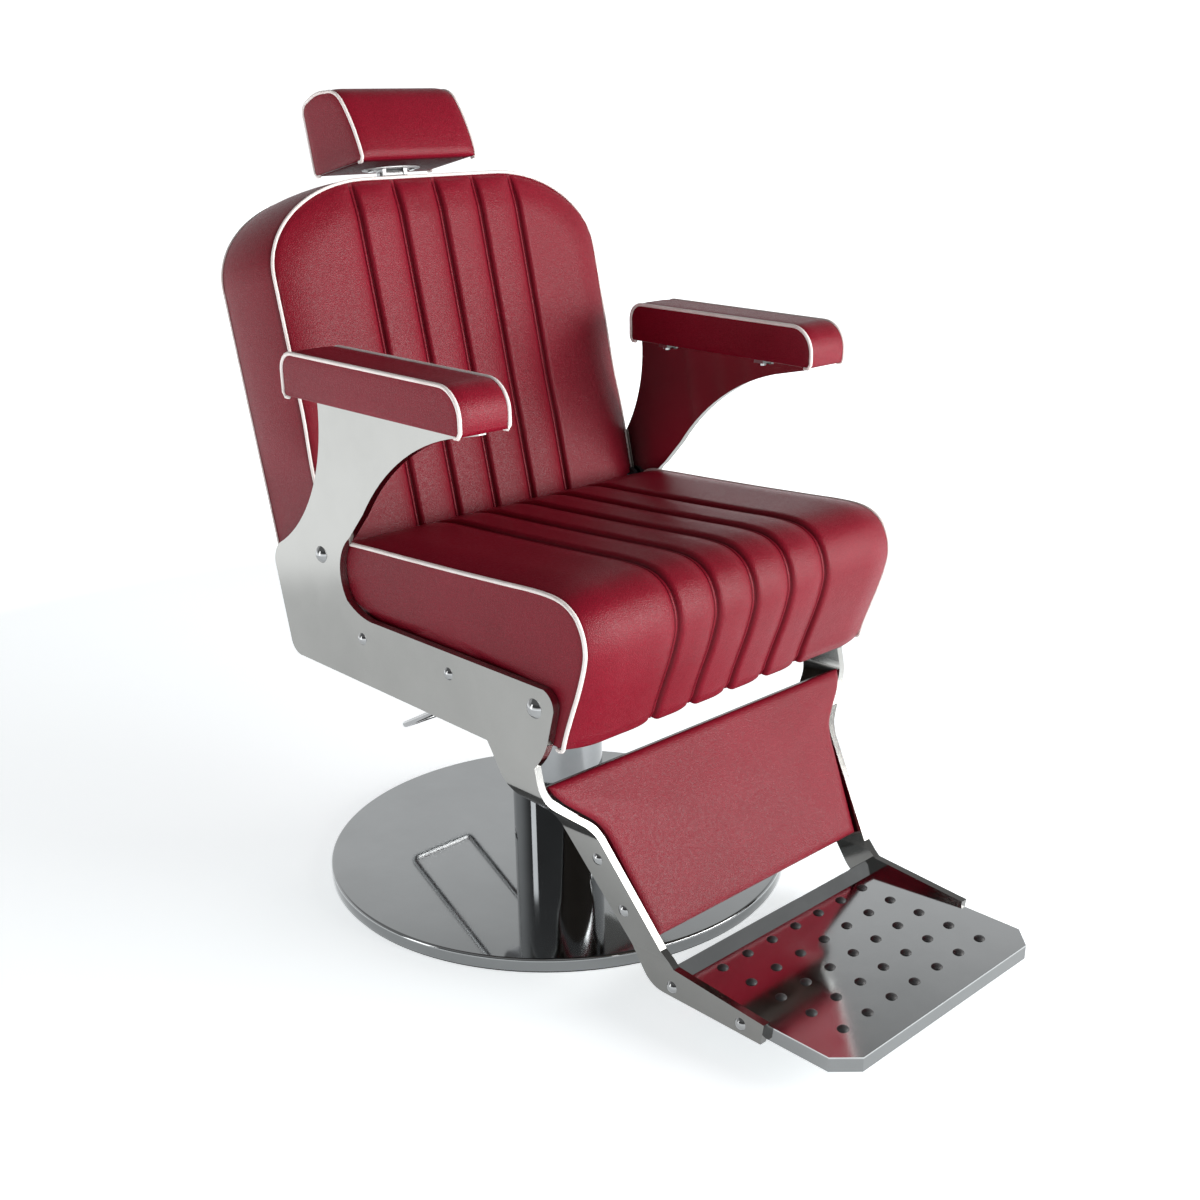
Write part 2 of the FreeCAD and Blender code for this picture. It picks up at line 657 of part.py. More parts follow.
def back():
    bracket_inner = BRACKET_OUTER - BRACKET_THICKNESS
    rail = box(-bracket_inner, bracket_inner, 8, BACK_BOARD_REAR, BACK_BOTTOM - 4, BACK_BOTTOM)
    arm = side_profile(
        [
            (0, -18),
            ("arc", (-18, 0), (0, 18)),
            (60, 40),
            (BACK_BOARD_REAR, 40),
            (BACK_BOARD_REAR, BACK_BOTTOM - 4),
            (30, BACK_BOTTOM - 4),
        ],
        bracket_inner,
        BRACKET_OUTER,
    )
    bush = crosswise(11, 0, 0, bracket_inner, PLATE_INNER - 0.2)
    bush = bush.cut(crosswise(PIN_RADIUS + SLIDING_GAP, 0, 0, 250, 280))
    bracket = arm.cut(crosswise(11, 0, 0, 250, 280))
    save(lean(both_sides(bracket)), "back_brackets")
    save(lean(both_sides(bush)), "back_bushes")

    lug_angle = -math.pi / 2 + SPRING_SLOPE + RECLINE_RANGE / 2 + BACK_LEAN
    lug_n = LUG_RADIUS * math.cos(lug_angle)
    lug_u = LUG_RADIUS * math.sin(lug_angle)
    cheeks = []
    for x0 in (SPRING_X - 12, SPRING_X + 6):
        cheek = side_profile(
            [
                (lug_n - 14, BACK_BOTTOM - 4),
                (lug_n - 9, lug_u),
                ("arc", (lug_n, lug_u - 9), (lug_n + 9, lug_u)),
                (lug_n + 14, BACK_BOTTOM - 4),
            ],
            x0,
            x0 + 6,
        )
        cheeks.append(cheek)
    pin = crosswise(4, lug_n, lug_u, SPRING_X - 15, SPRING_X + 15)
    rail = fuse([rail] + cheeks).cut(pin)
    save(lean(rail), "back_rail")
    save(lean(pin), "spring_pin_rear")

    nut_room = Part.makeCompound([crosswise(22, 0, 0, 240, 270), crosswise(22, 0, 0, -270, -240)])
    arm_room = side_profile([(CUSHION_FRONT - 1, BACK_BOTTOM), (CUSHION_REAR, BACK_BOTTOM),
                             (CUSHION_REAR, 41), (CUSHION_FRONT - 1, 41)], bracket_inner, 275)
    room = fuse([arm_room, mirror(arm_room)])
    guide_half = 24.0
    guide_room = box(-guide_half, guide_half, POST_N - 9, CUSHION_REAR, 250, BACK_TOP + 1)
    cushion = back_slab(CUSHION_FRONT, CUSHION_REAR, BACK_HALF_WIDTH, BACK_BOTTOM, BACK_TOP)
    save(lean(cushion.cut(room).cut(nut_room).cut(guide_room)), "back_cushion")

    board = back_slab(CUSHION_REAR, BACK_BOARD_REAR, bracket_inner, BACK_BOTTOM, BACK_TOP - 4, 4)
    save(lean(board), "back_board")
    cover = back_slab(BACK_BOARD_REAR, BACK_REAR, BACK_HALF_WIDTH, BACK_BOTTOM - 4, BACK_TOP)
    save(lean(cover), "back_cover")

    half = POST_WIDTH / 2 + SLIDING_GAP
    slot = box(-half, half, POST_N - 3 - SLIDING_GAP, POST_N + 3 + SLIDING_GAP, 240, BACK_TOP + 2)
    guide = box(-guide_half, guide_half, POST_N - 9, CUSHION_REAR, 250, BACK_TOP).cut(slot)
    save(lean(guide), "post_guide")


# ---------------------------------------------------------------- gas spring
def gas_spring():
    """The spring lies on the mean line of the lug's arc, with its rear eye loose on the lug's pin."""
    forward = V(0, -math.cos(SPRING_SLOPE), -math.sin(SPRING_SLOPE))
    half_swing = RECLINE_RANGE / 2
    middle_angle = -math.pi / 2 + SPRING_SLOPE
    mean_radius = LUG_RADIUS * (1 + math.cos(half_swing)) / 2
    foot_of_line = V(
        SPRING_X,
        RECLINE_Y + mean_radius * math.cos(middle_angle),
        RECLINE_Z + mean_radius * math.sin(middle_angle),
    )
    rear_eye = foot_of_line - forward * (LUG_RADIUS * math.sin(half_swing))
    front_eye = foot_of_line + forward * SPRING_MID_LENGTH

    def ring(at, hole):
        outer = crosswise(11, at.y, at.z, SPRING_X - 5, SPRING_X + 5)
        return outer.cut(crosswise(hole, at.y, at.z, SPRING_X - 5, SPRING_X + 5))

    body = Part.makeCylinder(CYLINDER_RADIUS, CYLINDER_LENGTH - 20, front_eye - forward * 20, -forward)
    neck = Part.makeCylinder(4, 16, front_eye - forward * 6, -forward)
    bore_start = front_eye - forward * 26
    bore = Part.makeCylinder(ROD_RADIUS + SLIDING_GAP, CYLINDER_LENGTH, bore_start, -forward)
    front_pin = crosswise(4, front_eye.y, front_eye.z, SPRING_X - 15, SPRING_X + 15)
    cylinder = fuse([ring(front_eye, 3), neck, body]).cut(bore).cut(front_pin)
    save(cylinder, "gas_cylinder")
    save(front_pin, "spring_pin_front")

    cheeks = []
    for x0 in (SPRING_X - 12, SPRING_X + 6):
        cheeks.append(box(x0, x0 + 6, front_eye.y - 12, front_eye.y + 12, BAR_BOTTOM + 4, front_eye.z + 10))
    foot = box(SPRING_X - 20, SPRING_X + 20, front_eye.y - 12, front_eye.y + 12, BAR_BOTTOM, BAR_BOTTOM + 4)
    save(fuse([foot] + cheeks).cut(front_pin), "spring_bracket")

    rod_start = front_eye - forward * 80
    rod_length = (rear_eye - rod_start).Length - 8
    rod = Part.makeCylinder(ROD_RADIUS, rod_length, rod_start, -forward)
    save(fuse([rod, ring(rear_eye, 7.5)]), "gas_rod")


# ---------------------------------------------------------------- release lever
def release():
    """A shaft under the seat, turned by a lever outside the left plate, frees the gas spring."""
    y = RELEASE_Y
    z = RELEASE_Z
    shaft = crosswise(RELEASE_RADIUS, y, z, SPRING_X - 12, PLATE_OUTER + 14)
    finger_outline = [(y - 6, z), (y - 4, z - 21), (y + 4, z - 21), (y + 6, z)]
    finger = side_profile(finger_outline, SPRING_X - 8, SPRING_X + 8)
    save(fuse([shaft, finger]), "release_shaft")
    arm = side_profile(
        [
            (y + 9, z),
            ("arc", (y, z - 9), (y - 9, z)),
            (y - 34, z + 76),
            ("arc", (y - 27, z + 84), (y - 20, z + 79)),
        ],
        PLATE_OUTER + 2,
        PLATE_OUTER + 8,
    )
    save(arm.cut(shaft), "release_lever")
    knob = crosswise(8, y - 27, z + 76, PLATE_OUTER + 8, PLATE_OUTER + 34)
    outer_rim = [e for e in knob.Edges if e.BoundBox.XMin > PLATE_OUTER + 33]
    save(knob.makeFillet(3, outer_rim), "release_knob")
    hangers = []
    for x in (-80, 96):
        hanger = box(x, x + 8, y - 12, y + 12, BAR_BOTTOM, z + 12)
        hangers.append(hanger.cut(crosswise(RELEASE_RADIUS + SLIDING_GAP, y, z, x, x + 8)))
    save(Part.makeCompound(hangers), "shaft_hangers")


# ---------------------------------------------------------------- headrest
def headrest():
    knuckle = crosswise(6, POST_N, TILT_U, -14, 14)
    pin = crosswise(3, POST_N, TILT_U, -22, 22)
    half = POST_THICKNESS / 2
    neck = box(-POST_WIDTH / 2, POST_WIDTH / 2, POST_N - half, POST_N + half, POST_FOOT, TILT_U)
    post = fuse([neck, knuckle]).cut(crosswise(3 + SLIDING_GAP, POST_N, TILT_U, -22, 22))
    save(lean(post), "headrest_post")
    save(lean(pin), "headrest_pin")

    wing = Part.Ellipse(V(0, POST_N, HEAD_BOTTOM - 2.5), 46, 19)
    wing = Part.Face(Part.Wire(wing.toShape())).extrude(V(0, 0, 2.5))
    ear_outline = [
        (POST_N - 8, HEAD_BOTTOM - 2),
        (POST_N - 7, TILT_U),
        ("arc", (POST_N, TILT_U - 7), (POST_N + 7, TILT_U)),
        (POST_N + 8, HEAD_BOTTOM - 2),
    ]
    ears = [side_profile(ear_outline, x, x + 5.5) for x in (-20, 14.5)]
    bracket = fuse([wing] + ears).cut(pin)
    screws = []
    for x in (-34, 34):
        screw = fuse([
            upright(4, x, POST_N, HEAD_BOTTOM - 4.5, HEAD_BOTTOM - 2.5),
            upright(2, x, POST_N, HEAD_BOTTOM - 2.5, HEAD_BOTTOM + 10),
        ])
        screws.append(screw)
    screws = Part.makeCompound(screws)
    save(lean(bracket.cut(screws)), "headrest_bracket")
    save(lean(screws), "headrest_screws")

    outline = [
        (15, HEAD_BOTTOM),
        ("arc", (23, 513), (37, 547)),
        ("arc", (49, 560), (67, 565)),
        ("arc", (90, 567), (111, 563)),
        ("arc", (122, 558), (126, 547)),
        (126, HEAD_BOTTOM),
    ]
    pad = side_profile(outline, -HEAD_HALF_WIDTH, HEAD_HALF_WIDTH)
    room = box(-78, 78, 32, 112, HEAD_BOTTOM, HEAD_BOTTOM + 12)
    save(lean(pad.cut(room)), "headrest_pad")
    save(lean(room.cut(screws)), "headrest_board")


base()
pedal()
piston()
seat_frame()
side_plates()
seat()
armrests()
leg_rest()
foot_rest()
back()
gas_spring()
release()
headrest()
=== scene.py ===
import json
import math

import bmesh
import bpy
import numpy as np
from mathutils import Matrix, Vector


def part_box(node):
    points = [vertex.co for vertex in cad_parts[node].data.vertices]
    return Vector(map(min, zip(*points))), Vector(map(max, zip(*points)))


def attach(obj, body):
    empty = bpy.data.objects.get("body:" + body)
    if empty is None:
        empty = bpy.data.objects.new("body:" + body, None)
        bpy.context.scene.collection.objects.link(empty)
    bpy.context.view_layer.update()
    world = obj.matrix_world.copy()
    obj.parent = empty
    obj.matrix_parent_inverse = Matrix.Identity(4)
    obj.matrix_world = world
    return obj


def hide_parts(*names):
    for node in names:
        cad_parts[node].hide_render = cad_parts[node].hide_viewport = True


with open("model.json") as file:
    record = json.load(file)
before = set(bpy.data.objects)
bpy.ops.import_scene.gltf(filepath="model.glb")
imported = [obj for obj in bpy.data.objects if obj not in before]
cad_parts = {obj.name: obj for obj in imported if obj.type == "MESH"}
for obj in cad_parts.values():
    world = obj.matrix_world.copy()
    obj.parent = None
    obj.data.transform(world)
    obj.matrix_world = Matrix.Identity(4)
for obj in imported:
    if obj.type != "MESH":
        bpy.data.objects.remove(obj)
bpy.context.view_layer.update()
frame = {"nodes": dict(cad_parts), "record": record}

SCENE = bpy.context.scene

# ------------------------------------------------------------------ camera, floor and light
CAMERA_AT = (-1.31407, -1.48597, 1.04850)
AZIMUTH = math.radians(-45.705)
ELEVATION = math.radians(22.957)
ROLL = math.radians(0.119)
LENS_MM = 45.90
SHIFT = (-0.0501, 0.1001)
FLOOR_RADIUS = 12


def make_camera():
    back = Vector((
        math.sin(AZIMUTH) * math.cos(ELEVATION),
        -math.cos(AZIMUTH) * math.cos(ELEVATION),
        math.sin(ELEVATION),
    ))
    right = (-back).cross(Vector((0, 0, 1))).normalized()
    up = right.cross(-back)
    x_axis = right * math.cos(ROLL) + up * math.sin(ROLL)
    y_axis = up * math.cos(ROLL) - right * math.sin(ROLL)
    data = bpy.data.cameras.new("camera")
    data.lens = LENS_MM
    data.sensor_width = 36.0
    data.shift_x, data.shift_y = SHIFT
    camera = bpy.data.objects.new("camera", data)
    turn = Matrix((x_axis, y_axis, back)).transposed().to_4x4()
    camera.matrix_world = Matrix.Translation(Vector(CAMERA_AT)) @ turn
    SCENE.collection.objects.link(camera)
    SCENE.camera = camera


def area_light(name, at, target, size, power, colour):
    """A softbox of a width and a height that faces the target and is hidden from the camera."""
    data = bpy.data.lights.new(name, "AREA")
    data.shape = "RECTANGLE"
    data.size, data.size_y = size
    data.energy = power
    data.color = colour
    lamp = bpy.data.objects.new(name, data)
    lamp.location = at
    way = Vector(target) - Vector(at)
    lamp.rotation_mode = "QUATERNION"
    lamp.rotation_quaternion = way.to_track_quat("-Z", "Y")
    SCENE.collection.objects.link(lamp)
    lamp.visible_camera = False


def make_world():
    """White at the horizon and grey above it, darker towards the camera and overhead."""
    world = bpy.data.worlds.new("studio")
    world.use_nodes = True
    SCENE.world = world
    tree = world.node_tree
    tree.nodes.clear()
    new = tree.nodes.new
    link = tree.links.new
    coord = new("ShaderNodeTexCoord")
    split = new("ShaderNodeSeparateXYZ")
    link(coord.outputs["Generated"], split.inputs[0])
    behind = new("ShaderNodeVectorMath")
    behind.operation = "DOT_PRODUCT"
    behind.inputs[1].default_value = (0.707, 0.707, 0)
    link(coord.outputs["Generated"], behind.inputs[0])
    side = new("ShaderNodeMapRange")
    side.interpolation_type = "SMOOTHSTEP"
    side.inputs["From Min"].default_value = -0.35
    side.inputs["From Max"].default_value = 0.45
    side.inputs["To Min"].default_value = 0.10
    side.inputs["To Max"].default_value = 0.66
    link(behind.outputs["Value"], side.inputs["Value"])
    above = new("ShaderNodeMapRange")
    above.interpolation_type = "SMOOTHSTEP"
    above.inputs["From Min"].default_value = 0.44
    above.inputs["From Max"].default_value = 0.62
    link(split.outputs["Z"], above.inputs["Value"])
    ceiling = new("ShaderNodeMix")
    ceiling.inputs["B"].default_value = 0.20
    link(above.outputs["Result"], ceiling.inputs["Factor"])
    link(side.outputs["Result"], ceiling.inputs["A"])
    rise = new("ShaderNodeMapRange")
    rise.interpolation_type = "SMOOTHSTEP"
    rise.inputs["From Min"].default_value = 0.045
    rise.inputs["From Max"].default_value = 0.16
    link(split.outputs["Z"], rise.inputs["Value"])
    level = new("ShaderNodeMix")
    level.inputs["A"].default_value = 1.15
    link(rise.outputs["Result"], level.inputs["Factor"])
    link(ceiling.outputs["Result"], level.inputs["B"])
    background = new("ShaderNodeBackground")
    background.inputs["Color"].default_value = (0.985, 0.995, 1.0, 1)
    link(level.outputs["Result"], background.inputs["Strength"])
    out = new("ShaderNodeOutputWorld")
    link(background.outputs[0], out.inputs[0])


def make_floor():
    """A pale round floor, lit from within like a sheet on a light table, that fades to the white backdrop."""
    material = bpy.data.materials.new("floor")
    material.use_nodes = True
    tree = material.node_tree
    new = tree.nodes.new
    link = tree.links.new
    surface = tree.nodes["Principled BSDF"]
    surface.inputs["Base Color"].default_value = (0.84, 0.88, 0.90, 1)
    surface.inputs["Roughness"].default_value = 0.6
    surface.inputs["Specular IOR Level"].default_value = 0.15
    surface.inputs["Emission Color"].default_value = (0.965, 0.99, 1.0, 1)
    coord = new("ShaderNodeTexCoord")
    length = new("ShaderNodeVectorMath")
    length.operation = "LENGTH"
    fade = new("ShaderNodeMapRange")
    fade.interpolation_type = "SMOOTHSTEP"
    fade.inputs["From Min"].default_value = 1.60
    fade.inputs["From Max"].default_value = 1.90
    fade.inputs["To Min"].default_value = 0.65
    fade.inputs["To Max"].default_value = 1.42
    link(coord.outputs["Object"], length.inputs[0])
    link(length.outputs["Value"], fade.inputs["Value"])
    link(fade.outputs["Result"], surface.inputs["Emission Strength"])
    angles = np.linspace(0, 2 * math.pi, 97)[:-1]
    points = [(FLOOR_RADIUS * math.cos(a), FLOOR_RADIUS * math.sin(a), 0) for a in angles]
    mesh = bpy.data.meshes.new("floor")
    mesh.from_pydata(points, [], [list(range(len(points)))])
    mesh.materials.append(material)
    floor = bpy.data.objects.new("floor", mesh)
    SCENE.collection.objects.link(floor)


# ------------------------------------------------------------------ materials
def shader(name):
    material = bpy.data.materials.new(name)
    material.use_nodes = True
    tree = material.node_tree
    return material, tree.nodes.new, tree.links.new, tree.nodes["Principled BSDF"]


def scaled_coord(new, link, scale):
    coord = new("ShaderNodeTexCoord")
    mapping = new("ShaderNodeMapping")
    mapping.inputs["Scale"].default_value = scale
    link(coord.outputs["Object"], mapping.inputs["Vector"])
    return mapping.outputs["Vector"]


def noise(new, link, vector, scale, detail=3.0, rough=0.5):
    node = new("ShaderNodeTexNoise")
    node.inputs["Scale"].default_value = scale
    node.inputs["Detail"].default_value = detail
    node.inputs["Roughness"].default_value = rough
    link(vector, node.inputs["Vector"])
    return node


def remap(new, link, value, low, high, to_low, to_high):
    node = new("ShaderNodeMapRange")
    node.inputs["From Min"].default_value = low
    node.inputs["From Max"].default_value = high
    node.inputs["To Min"].default_value = to_low
    node.inputs["To Max"].default_value = to_high
    link(value, node.inputs["Value"])
    return node.outputs["Result"]


def mix_colour(new, link, factor, first, second, blend="MIX"):
    node = new("ShaderNodeMix")
    node.data_type = "RGBA"
    node.blend_type = blend
    for socket, value in ((node.inputs[0], factor), (node.inputs[6], first), (node.inputs[7], second)):
        if isinstance(value, (int, float, tuple)):
            socket.default_value = value
        else:
            link(value, socket)
    return node.outputs[2]


def leather(name, light, dark, crease, shine=0.18, rough=(0.30, 0.40), grain=430.0):
    """Embossed leather: irregular grain cells, fine pores, broad lighter patches and painted shade in seams
    and creases.
    """
    material, new, link, surface = shader(name)
    plain = scaled_coord(new, link, (1, 1, 1))
    broad = noise(new, link, plain, 5.0, 4.0, 0.6)
    fine = noise(new, link, plain, 240.0, 3.0, 0.6)
    warp = noise(new, link, plain, 150.0, 2.0)
    bend = new("ShaderNodeVectorMath")
    bend.operation = "MULTIPLY_ADD"
    bend.inputs[1].default_value = (0.004, 0.004, 0.004)
    link(warp.outputs["Color"], bend.inputs[0])
    link(plain, bend.inputs[2])
    cells = new("ShaderNodeTexVoronoi")
    cells.feature = "DISTANCE_TO_EDGE"
    cells.inputs["Scale"].default_value = grain
    link(bend.outputs[0], cells.inputs["Vector"])
    folds = remap(new, link, cells.outputs["Distance"], 0.0, 0.30, 0.0, 1.0)
    seam = new("ShaderNodeAttribute")
    seam.attribute_name = "crease"

    tint = mix_colour(new, link, remap(new, link, broad.outputs[0], 0.35, 0.68, 0.0, 1.0), dark, light)
    pores = remap(new, link, folds, 0.0, 0.6, 0.72, 1.0)
    tint = mix_colour(new, link, 1.0, tint, pores, "MULTIPLY")
    # painted shade: the crease attribute blends in the dark crease colour in seam grooves and along panel
    # joins
    tint = mix_colour(new, link, seam.outputs["Fac"], tint, crease)
    link(tint, surface.inputs["Base Color"])
    link(remap(new, link, fine.outputs[0], 0.3, 0.7, rough[0], rough[1]), surface.inputs["Roughness"])
    surface.inputs["Specular IOR Level"].default_value = shine

    height = new("ShaderNodeMath")
    height.operation = "MULTIPLY_ADD"
    height.inputs[1].default_value = 0.35
    link(fine.outputs[0], height.inputs[0])
    link(folds, height.inputs[2])
    bump = new("ShaderNodeBump")
    bump.inputs["Strength"].default_value = 0.7
    bump.inputs["Distance"].default_value = 0.00021
    link(height.outputs[0], bump.inputs["Height"])
    link(bump.outputs[0], surface.inputs["Normal"])
    return material


def piping_material():
    material, new, link, surface = shader("cream_piping")
    plain = scaled_coord(new, link, (1, 1, 1))
    soil = noise(new, link, plain, 22.0, 4.0, 0.65)
    pores = noise(new, link, plain, 700.0, 2.0)
    tint = mix_colour(new, link, remap(new, link, soil.outputs[0], 0.35, 0.7, 0.0, 1.0),
                      (0.80, 0.70, 0.67, 1), (0.92, 0.86, 0.84, 1))
    link(tint, surface.inputs["Base Color"])
    link(remap(new, link, pores.outputs[0], 0.3, 0.7, 0.34, 0.5), surface.inputs["Roughness"])
    bump = new("ShaderNodeBump")
    bump.inputs["Strength"].default_value = 0.25
    bump.inputs["Distance"].default_value = 0.0003
    link(pores.outputs[0], bump.inputs["Height"])
    link(bump.outputs[0], surface.inputs["Normal"])
    return material


def metal(name, colour, rough, brush=None, brush_depth=0.00001, smudge=0.35, dark=0.82, edge=None):
    """Metal with handling marks. The brushed lines stretch along X, Y and Z by brush.

    edge is a height, a share and a width: below that height the colour is multiplied by the share, and
    it rises to the full colour over the width. This darkening is painted shade, in place of darker
    reflections low down.
    """
    material, new, link, surface = shader(name)
    surface.inputs["Metallic"].default_value = 1.0
    plain = scaled_coord(new, link, (1, 1, 1))
    marks = noise(new, link, plain, 9.0, 5.0, 0.65)
    shade = remap(new, link, marks.outputs[0], 0.3, 0.7, dark, 1.0)
    tint = mix_colour(new, link, 1.0, (*colour, 1), shade, "MULTIPLY")
    # painted shade: below the edge height the colour is darkened, standing in for darker reflections low down
    if edge:
        split = new("ShaderNodeSeparateXYZ")
        link(plain, split.inputs[0])
        painted_shade = remap(new, link, split.outputs["Z"], edge[0], edge[0] + edge[2], edge[1], 1.0)
        tint = mix_colour(new, link, 1.0, tint, painted_shade, "MULTIPLY")
    link(tint, surface.inputs["Base Color"])
    rough_now = remap(new, link, marks.outputs[0], 0.3, 0.75, rough * (1 - smudge), rough * (1 + smudge))
    if brush:
        lines = noise(new, link, scaled_coord(new, link, brush), 1.0, 4.0, 0.7)
        add = new("ShaderNodeMath")
        add.operation = "MULTIPLY_ADD"
        add.inputs[1].default_value = rough * 0.6
        link(lines.outputs[0], add.inputs[0])
        link(rough_now, add.inputs[2])
        rough_now = add.outputs[0]
        bump = new("ShaderNodeBump")
        bump.inputs["Strength"].default_value = 0.35
        bump.inputs["Distance"].default_value = brush_depth
        link(lines.outputs[0], bump.inputs["Height"])
        link(bump.outputs[0], surface.inputs["Normal"])
    link(rough_now, surface.inputs["Roughness"])
    return material


def solid_material(name, colour, second, rough, scale, bump_depth, metallic=0.0, stretch=(1, 1, 1)):
    """Painted, rubber, plastic or wooden surfaces, each with its own grain."""
    material, new, link, surface = shader(name)
    surface.inputs["Metallic"].default_value = metallic
    grain = noise(new, link, scaled_coord(new, link, stretch), scale, 5.0, 0.6)
    share = remap(new, link, grain.outputs[0], 0.3, 0.7, 0.0, 1.0)
    tint = mix_colour(new, link, share, (*colour, 1), (*second, 1))
    link(tint, surface.inputs["Base Color"])
    link(remap(new, link, grain.outputs[0], 0.3, 0.7, rough * 0.8, rough * 1.2), surface.inputs["Roughness"])
    bump = new("ShaderNodeBump")
    bump.inputs["Strength"].default_value = 0.3
    bump.inputs["Distance"].default_value = bump_depth
    link(grain.outputs[0], bump.inputs["Height"])
    link(bump.outputs[0], surface.inputs["Normal"])
    return material


# the last colour is the painted crease shade for seams and panel joins
RED = leather("red_leather", (0.235, 0.0056, 0.0195, 1), (0.198, 0.0045, 0.0150, 1), (0.050, 0.001, 0.004, 1))
# painted shade: a darker, duller copy of the red leather for the headrest's underside, which lies in shade
RED_PAINTED_SHADE = leather(
    "red_leather_painted_shade",
    (0.13, 0.004, 0.014, 1),
    (0.10, 0.003, 0.011, 1),
    (0.03, 0.001, 0.003, 1),
    shine=0.06,
    rough=(0.5, 0.6),
)
ROD = metal("rod_chrome", (0.50, 0.505, 0.51), rough=0.11)
SATIN = metal("satin_chrome", (0.70, 0.705, 0.71), rough=0.42, brush=(40, 40, 300))
THREAD = solid_material(
    "thread", (0.030, 0.003, 0.005), (0.060, 0.005, 0.008), rough=0.6, scale=900.0, bump_depth=0.0002,
)
PIPING = piping_material()
CHROME = metal("polished_chrome", (0.50, 0.51, 0.52), rough=0.05)
# painted shade: below 16.8 mm, on the disc's side, the colour is halved to stand in for a darker reflection
DISC = metal(
    "disc_chrome", (0.50, 0.515, 0.52), rough=0.06, smudge=0.3, dark=0.92, edge=(0.0168, 0.5, 0.0015),
)
# painted reflection: a darker copy of the chrome stands in for the dark surroundings that the column reflects
COLUMN = metal("column_chrome", (0.36, 0.37, 0.38), rough=0.045)
# painted shade: the foot plate's sides below 58.5 mm are darkened to stand in for a darker reflection
TREAD = metal(
    "tread_steel",
    (0.60, 0.615, 0.62),
    rough=0.075,
    brush=(90, 14, 40),
    smudge=0.5,
    dark=0.9,
    edge=(0.0585, 0.45, 0.0015),
)
# painted reflection: a darker copy of the chrome stands in for the dark surroundings that the bolt domes
# reflect
BOLTS = metal("bolt_chrome", (0.40, 0.405, 0.41), rough=0.06)
# painted shade: this steel darkens from 0.29 m down to 0.13 m, standing in for the reflection of the shaded
# floor
STEEL = metal(
    "brushed_steel", (0.390, 0.386, 0.372), rough=0.10, brush=(30, 260, 9), dark=0.92,
    edge=(0.13, 0.60, 0.16),
)
MACHINED = metal(
    "machine_steel", (0.36, 0.36, 0.37), rough=0.28, brush=(300, 300, 8), brush_depth=0.00004,
)
BRASS = metal("brass_bush", (0.55, 0.38, 0.16), rough=0.25)
BLACK = solid_material(
    "black_steel", (0.016, 0.016, 0.018), (0.030, 0.030, 0.032), rough=0.42, scale=160.0, bump_depth=0.0003,
)
WOOD = solid_material(
    "plywood",
    (0.060, 0.044, 0.034),
    (0.105, 0.080, 0.060),
    rough=0.6,
    scale=6.0,
    bump_depth=0.0003,
    stretch=(2, 14, 60),
)
RUBBER = solid_material(
    "black_rubber", (0.018, 0.018, 0.019), (0.042, 0.042, 0.044), rough=0.5, scale=420.0, bump_depth=0.0002,
)
PLASTIC = solid_material(
    "black_plastic", (0.010, 0.010, 0.011), (0.020, 0.020, 0.022), rough=0.3, scale=300.0, bump_depth=0.0001,
)
NODE_MATERIALS = {
    "base_disc": DISC,
    "column_cover": COLUMN,
    "foot_plate": TREAD,
    "lift_piston": COLUMN,
    "headrest_post": SATIN,
    "headrest_bracket": SATIN,
}
SLOT_MATERIALS = {
    "polished_chrome": CHROME,
    "bolt_chrome": BOLTS,
    "brushed_steel": STEEL,
    "machine_steel": MACHINED,
    "brass_bush": BRASS,
    "black_steel": BLACK,
    "plywood": WOOD,
    "black_rubber": RUBBER,
    "black_plastic": PLASTIC,
    "red_leather": RED,
}


def dress_cad_nodes():
    for entry in frame["record"]["subparts"]:
        node = frame["nodes"][entry["node"]]
        for slot in node.material_slots:
            slot.material = NODE_MATERIALS.get(entry["node"], SLOT_MATERIALS[entry["material_slot"]])


# ------------------------------------------------------------------ mesh helpers
def smoothstep(x, low, high):
    t = np.clip((np.asarray(x, dtype=float) - low) / (high - low), 0, 1)
    return t * t * (3 - 2 * t)


def make_object(name, points, faces, material, body, creases=None):
    """A smooth-shaded mesh that rides on a body. creases are the share of painted crease shade at each point.
    """
    mesh = bpy.data.meshes.new(name)
    mesh.from_pydata([tuple(p) for p in points], [], faces)
    mesh.materials.append(material)
    if creases is not None:
        layer = mesh.attributes.new("crease", "FLOAT", "POINT")
        layer.data.foreach_set("value", np.asarray(creases, dtype=np.float32))
    mesh.validate()
    mesh.polygons.foreach_set("use_smooth", [True] * len(mesh.polygons))
    piece = bpy.data.objects.new(name, mesh)
    SCENE.collection.objects.link(piece)
    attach(piece, body)
    return piece


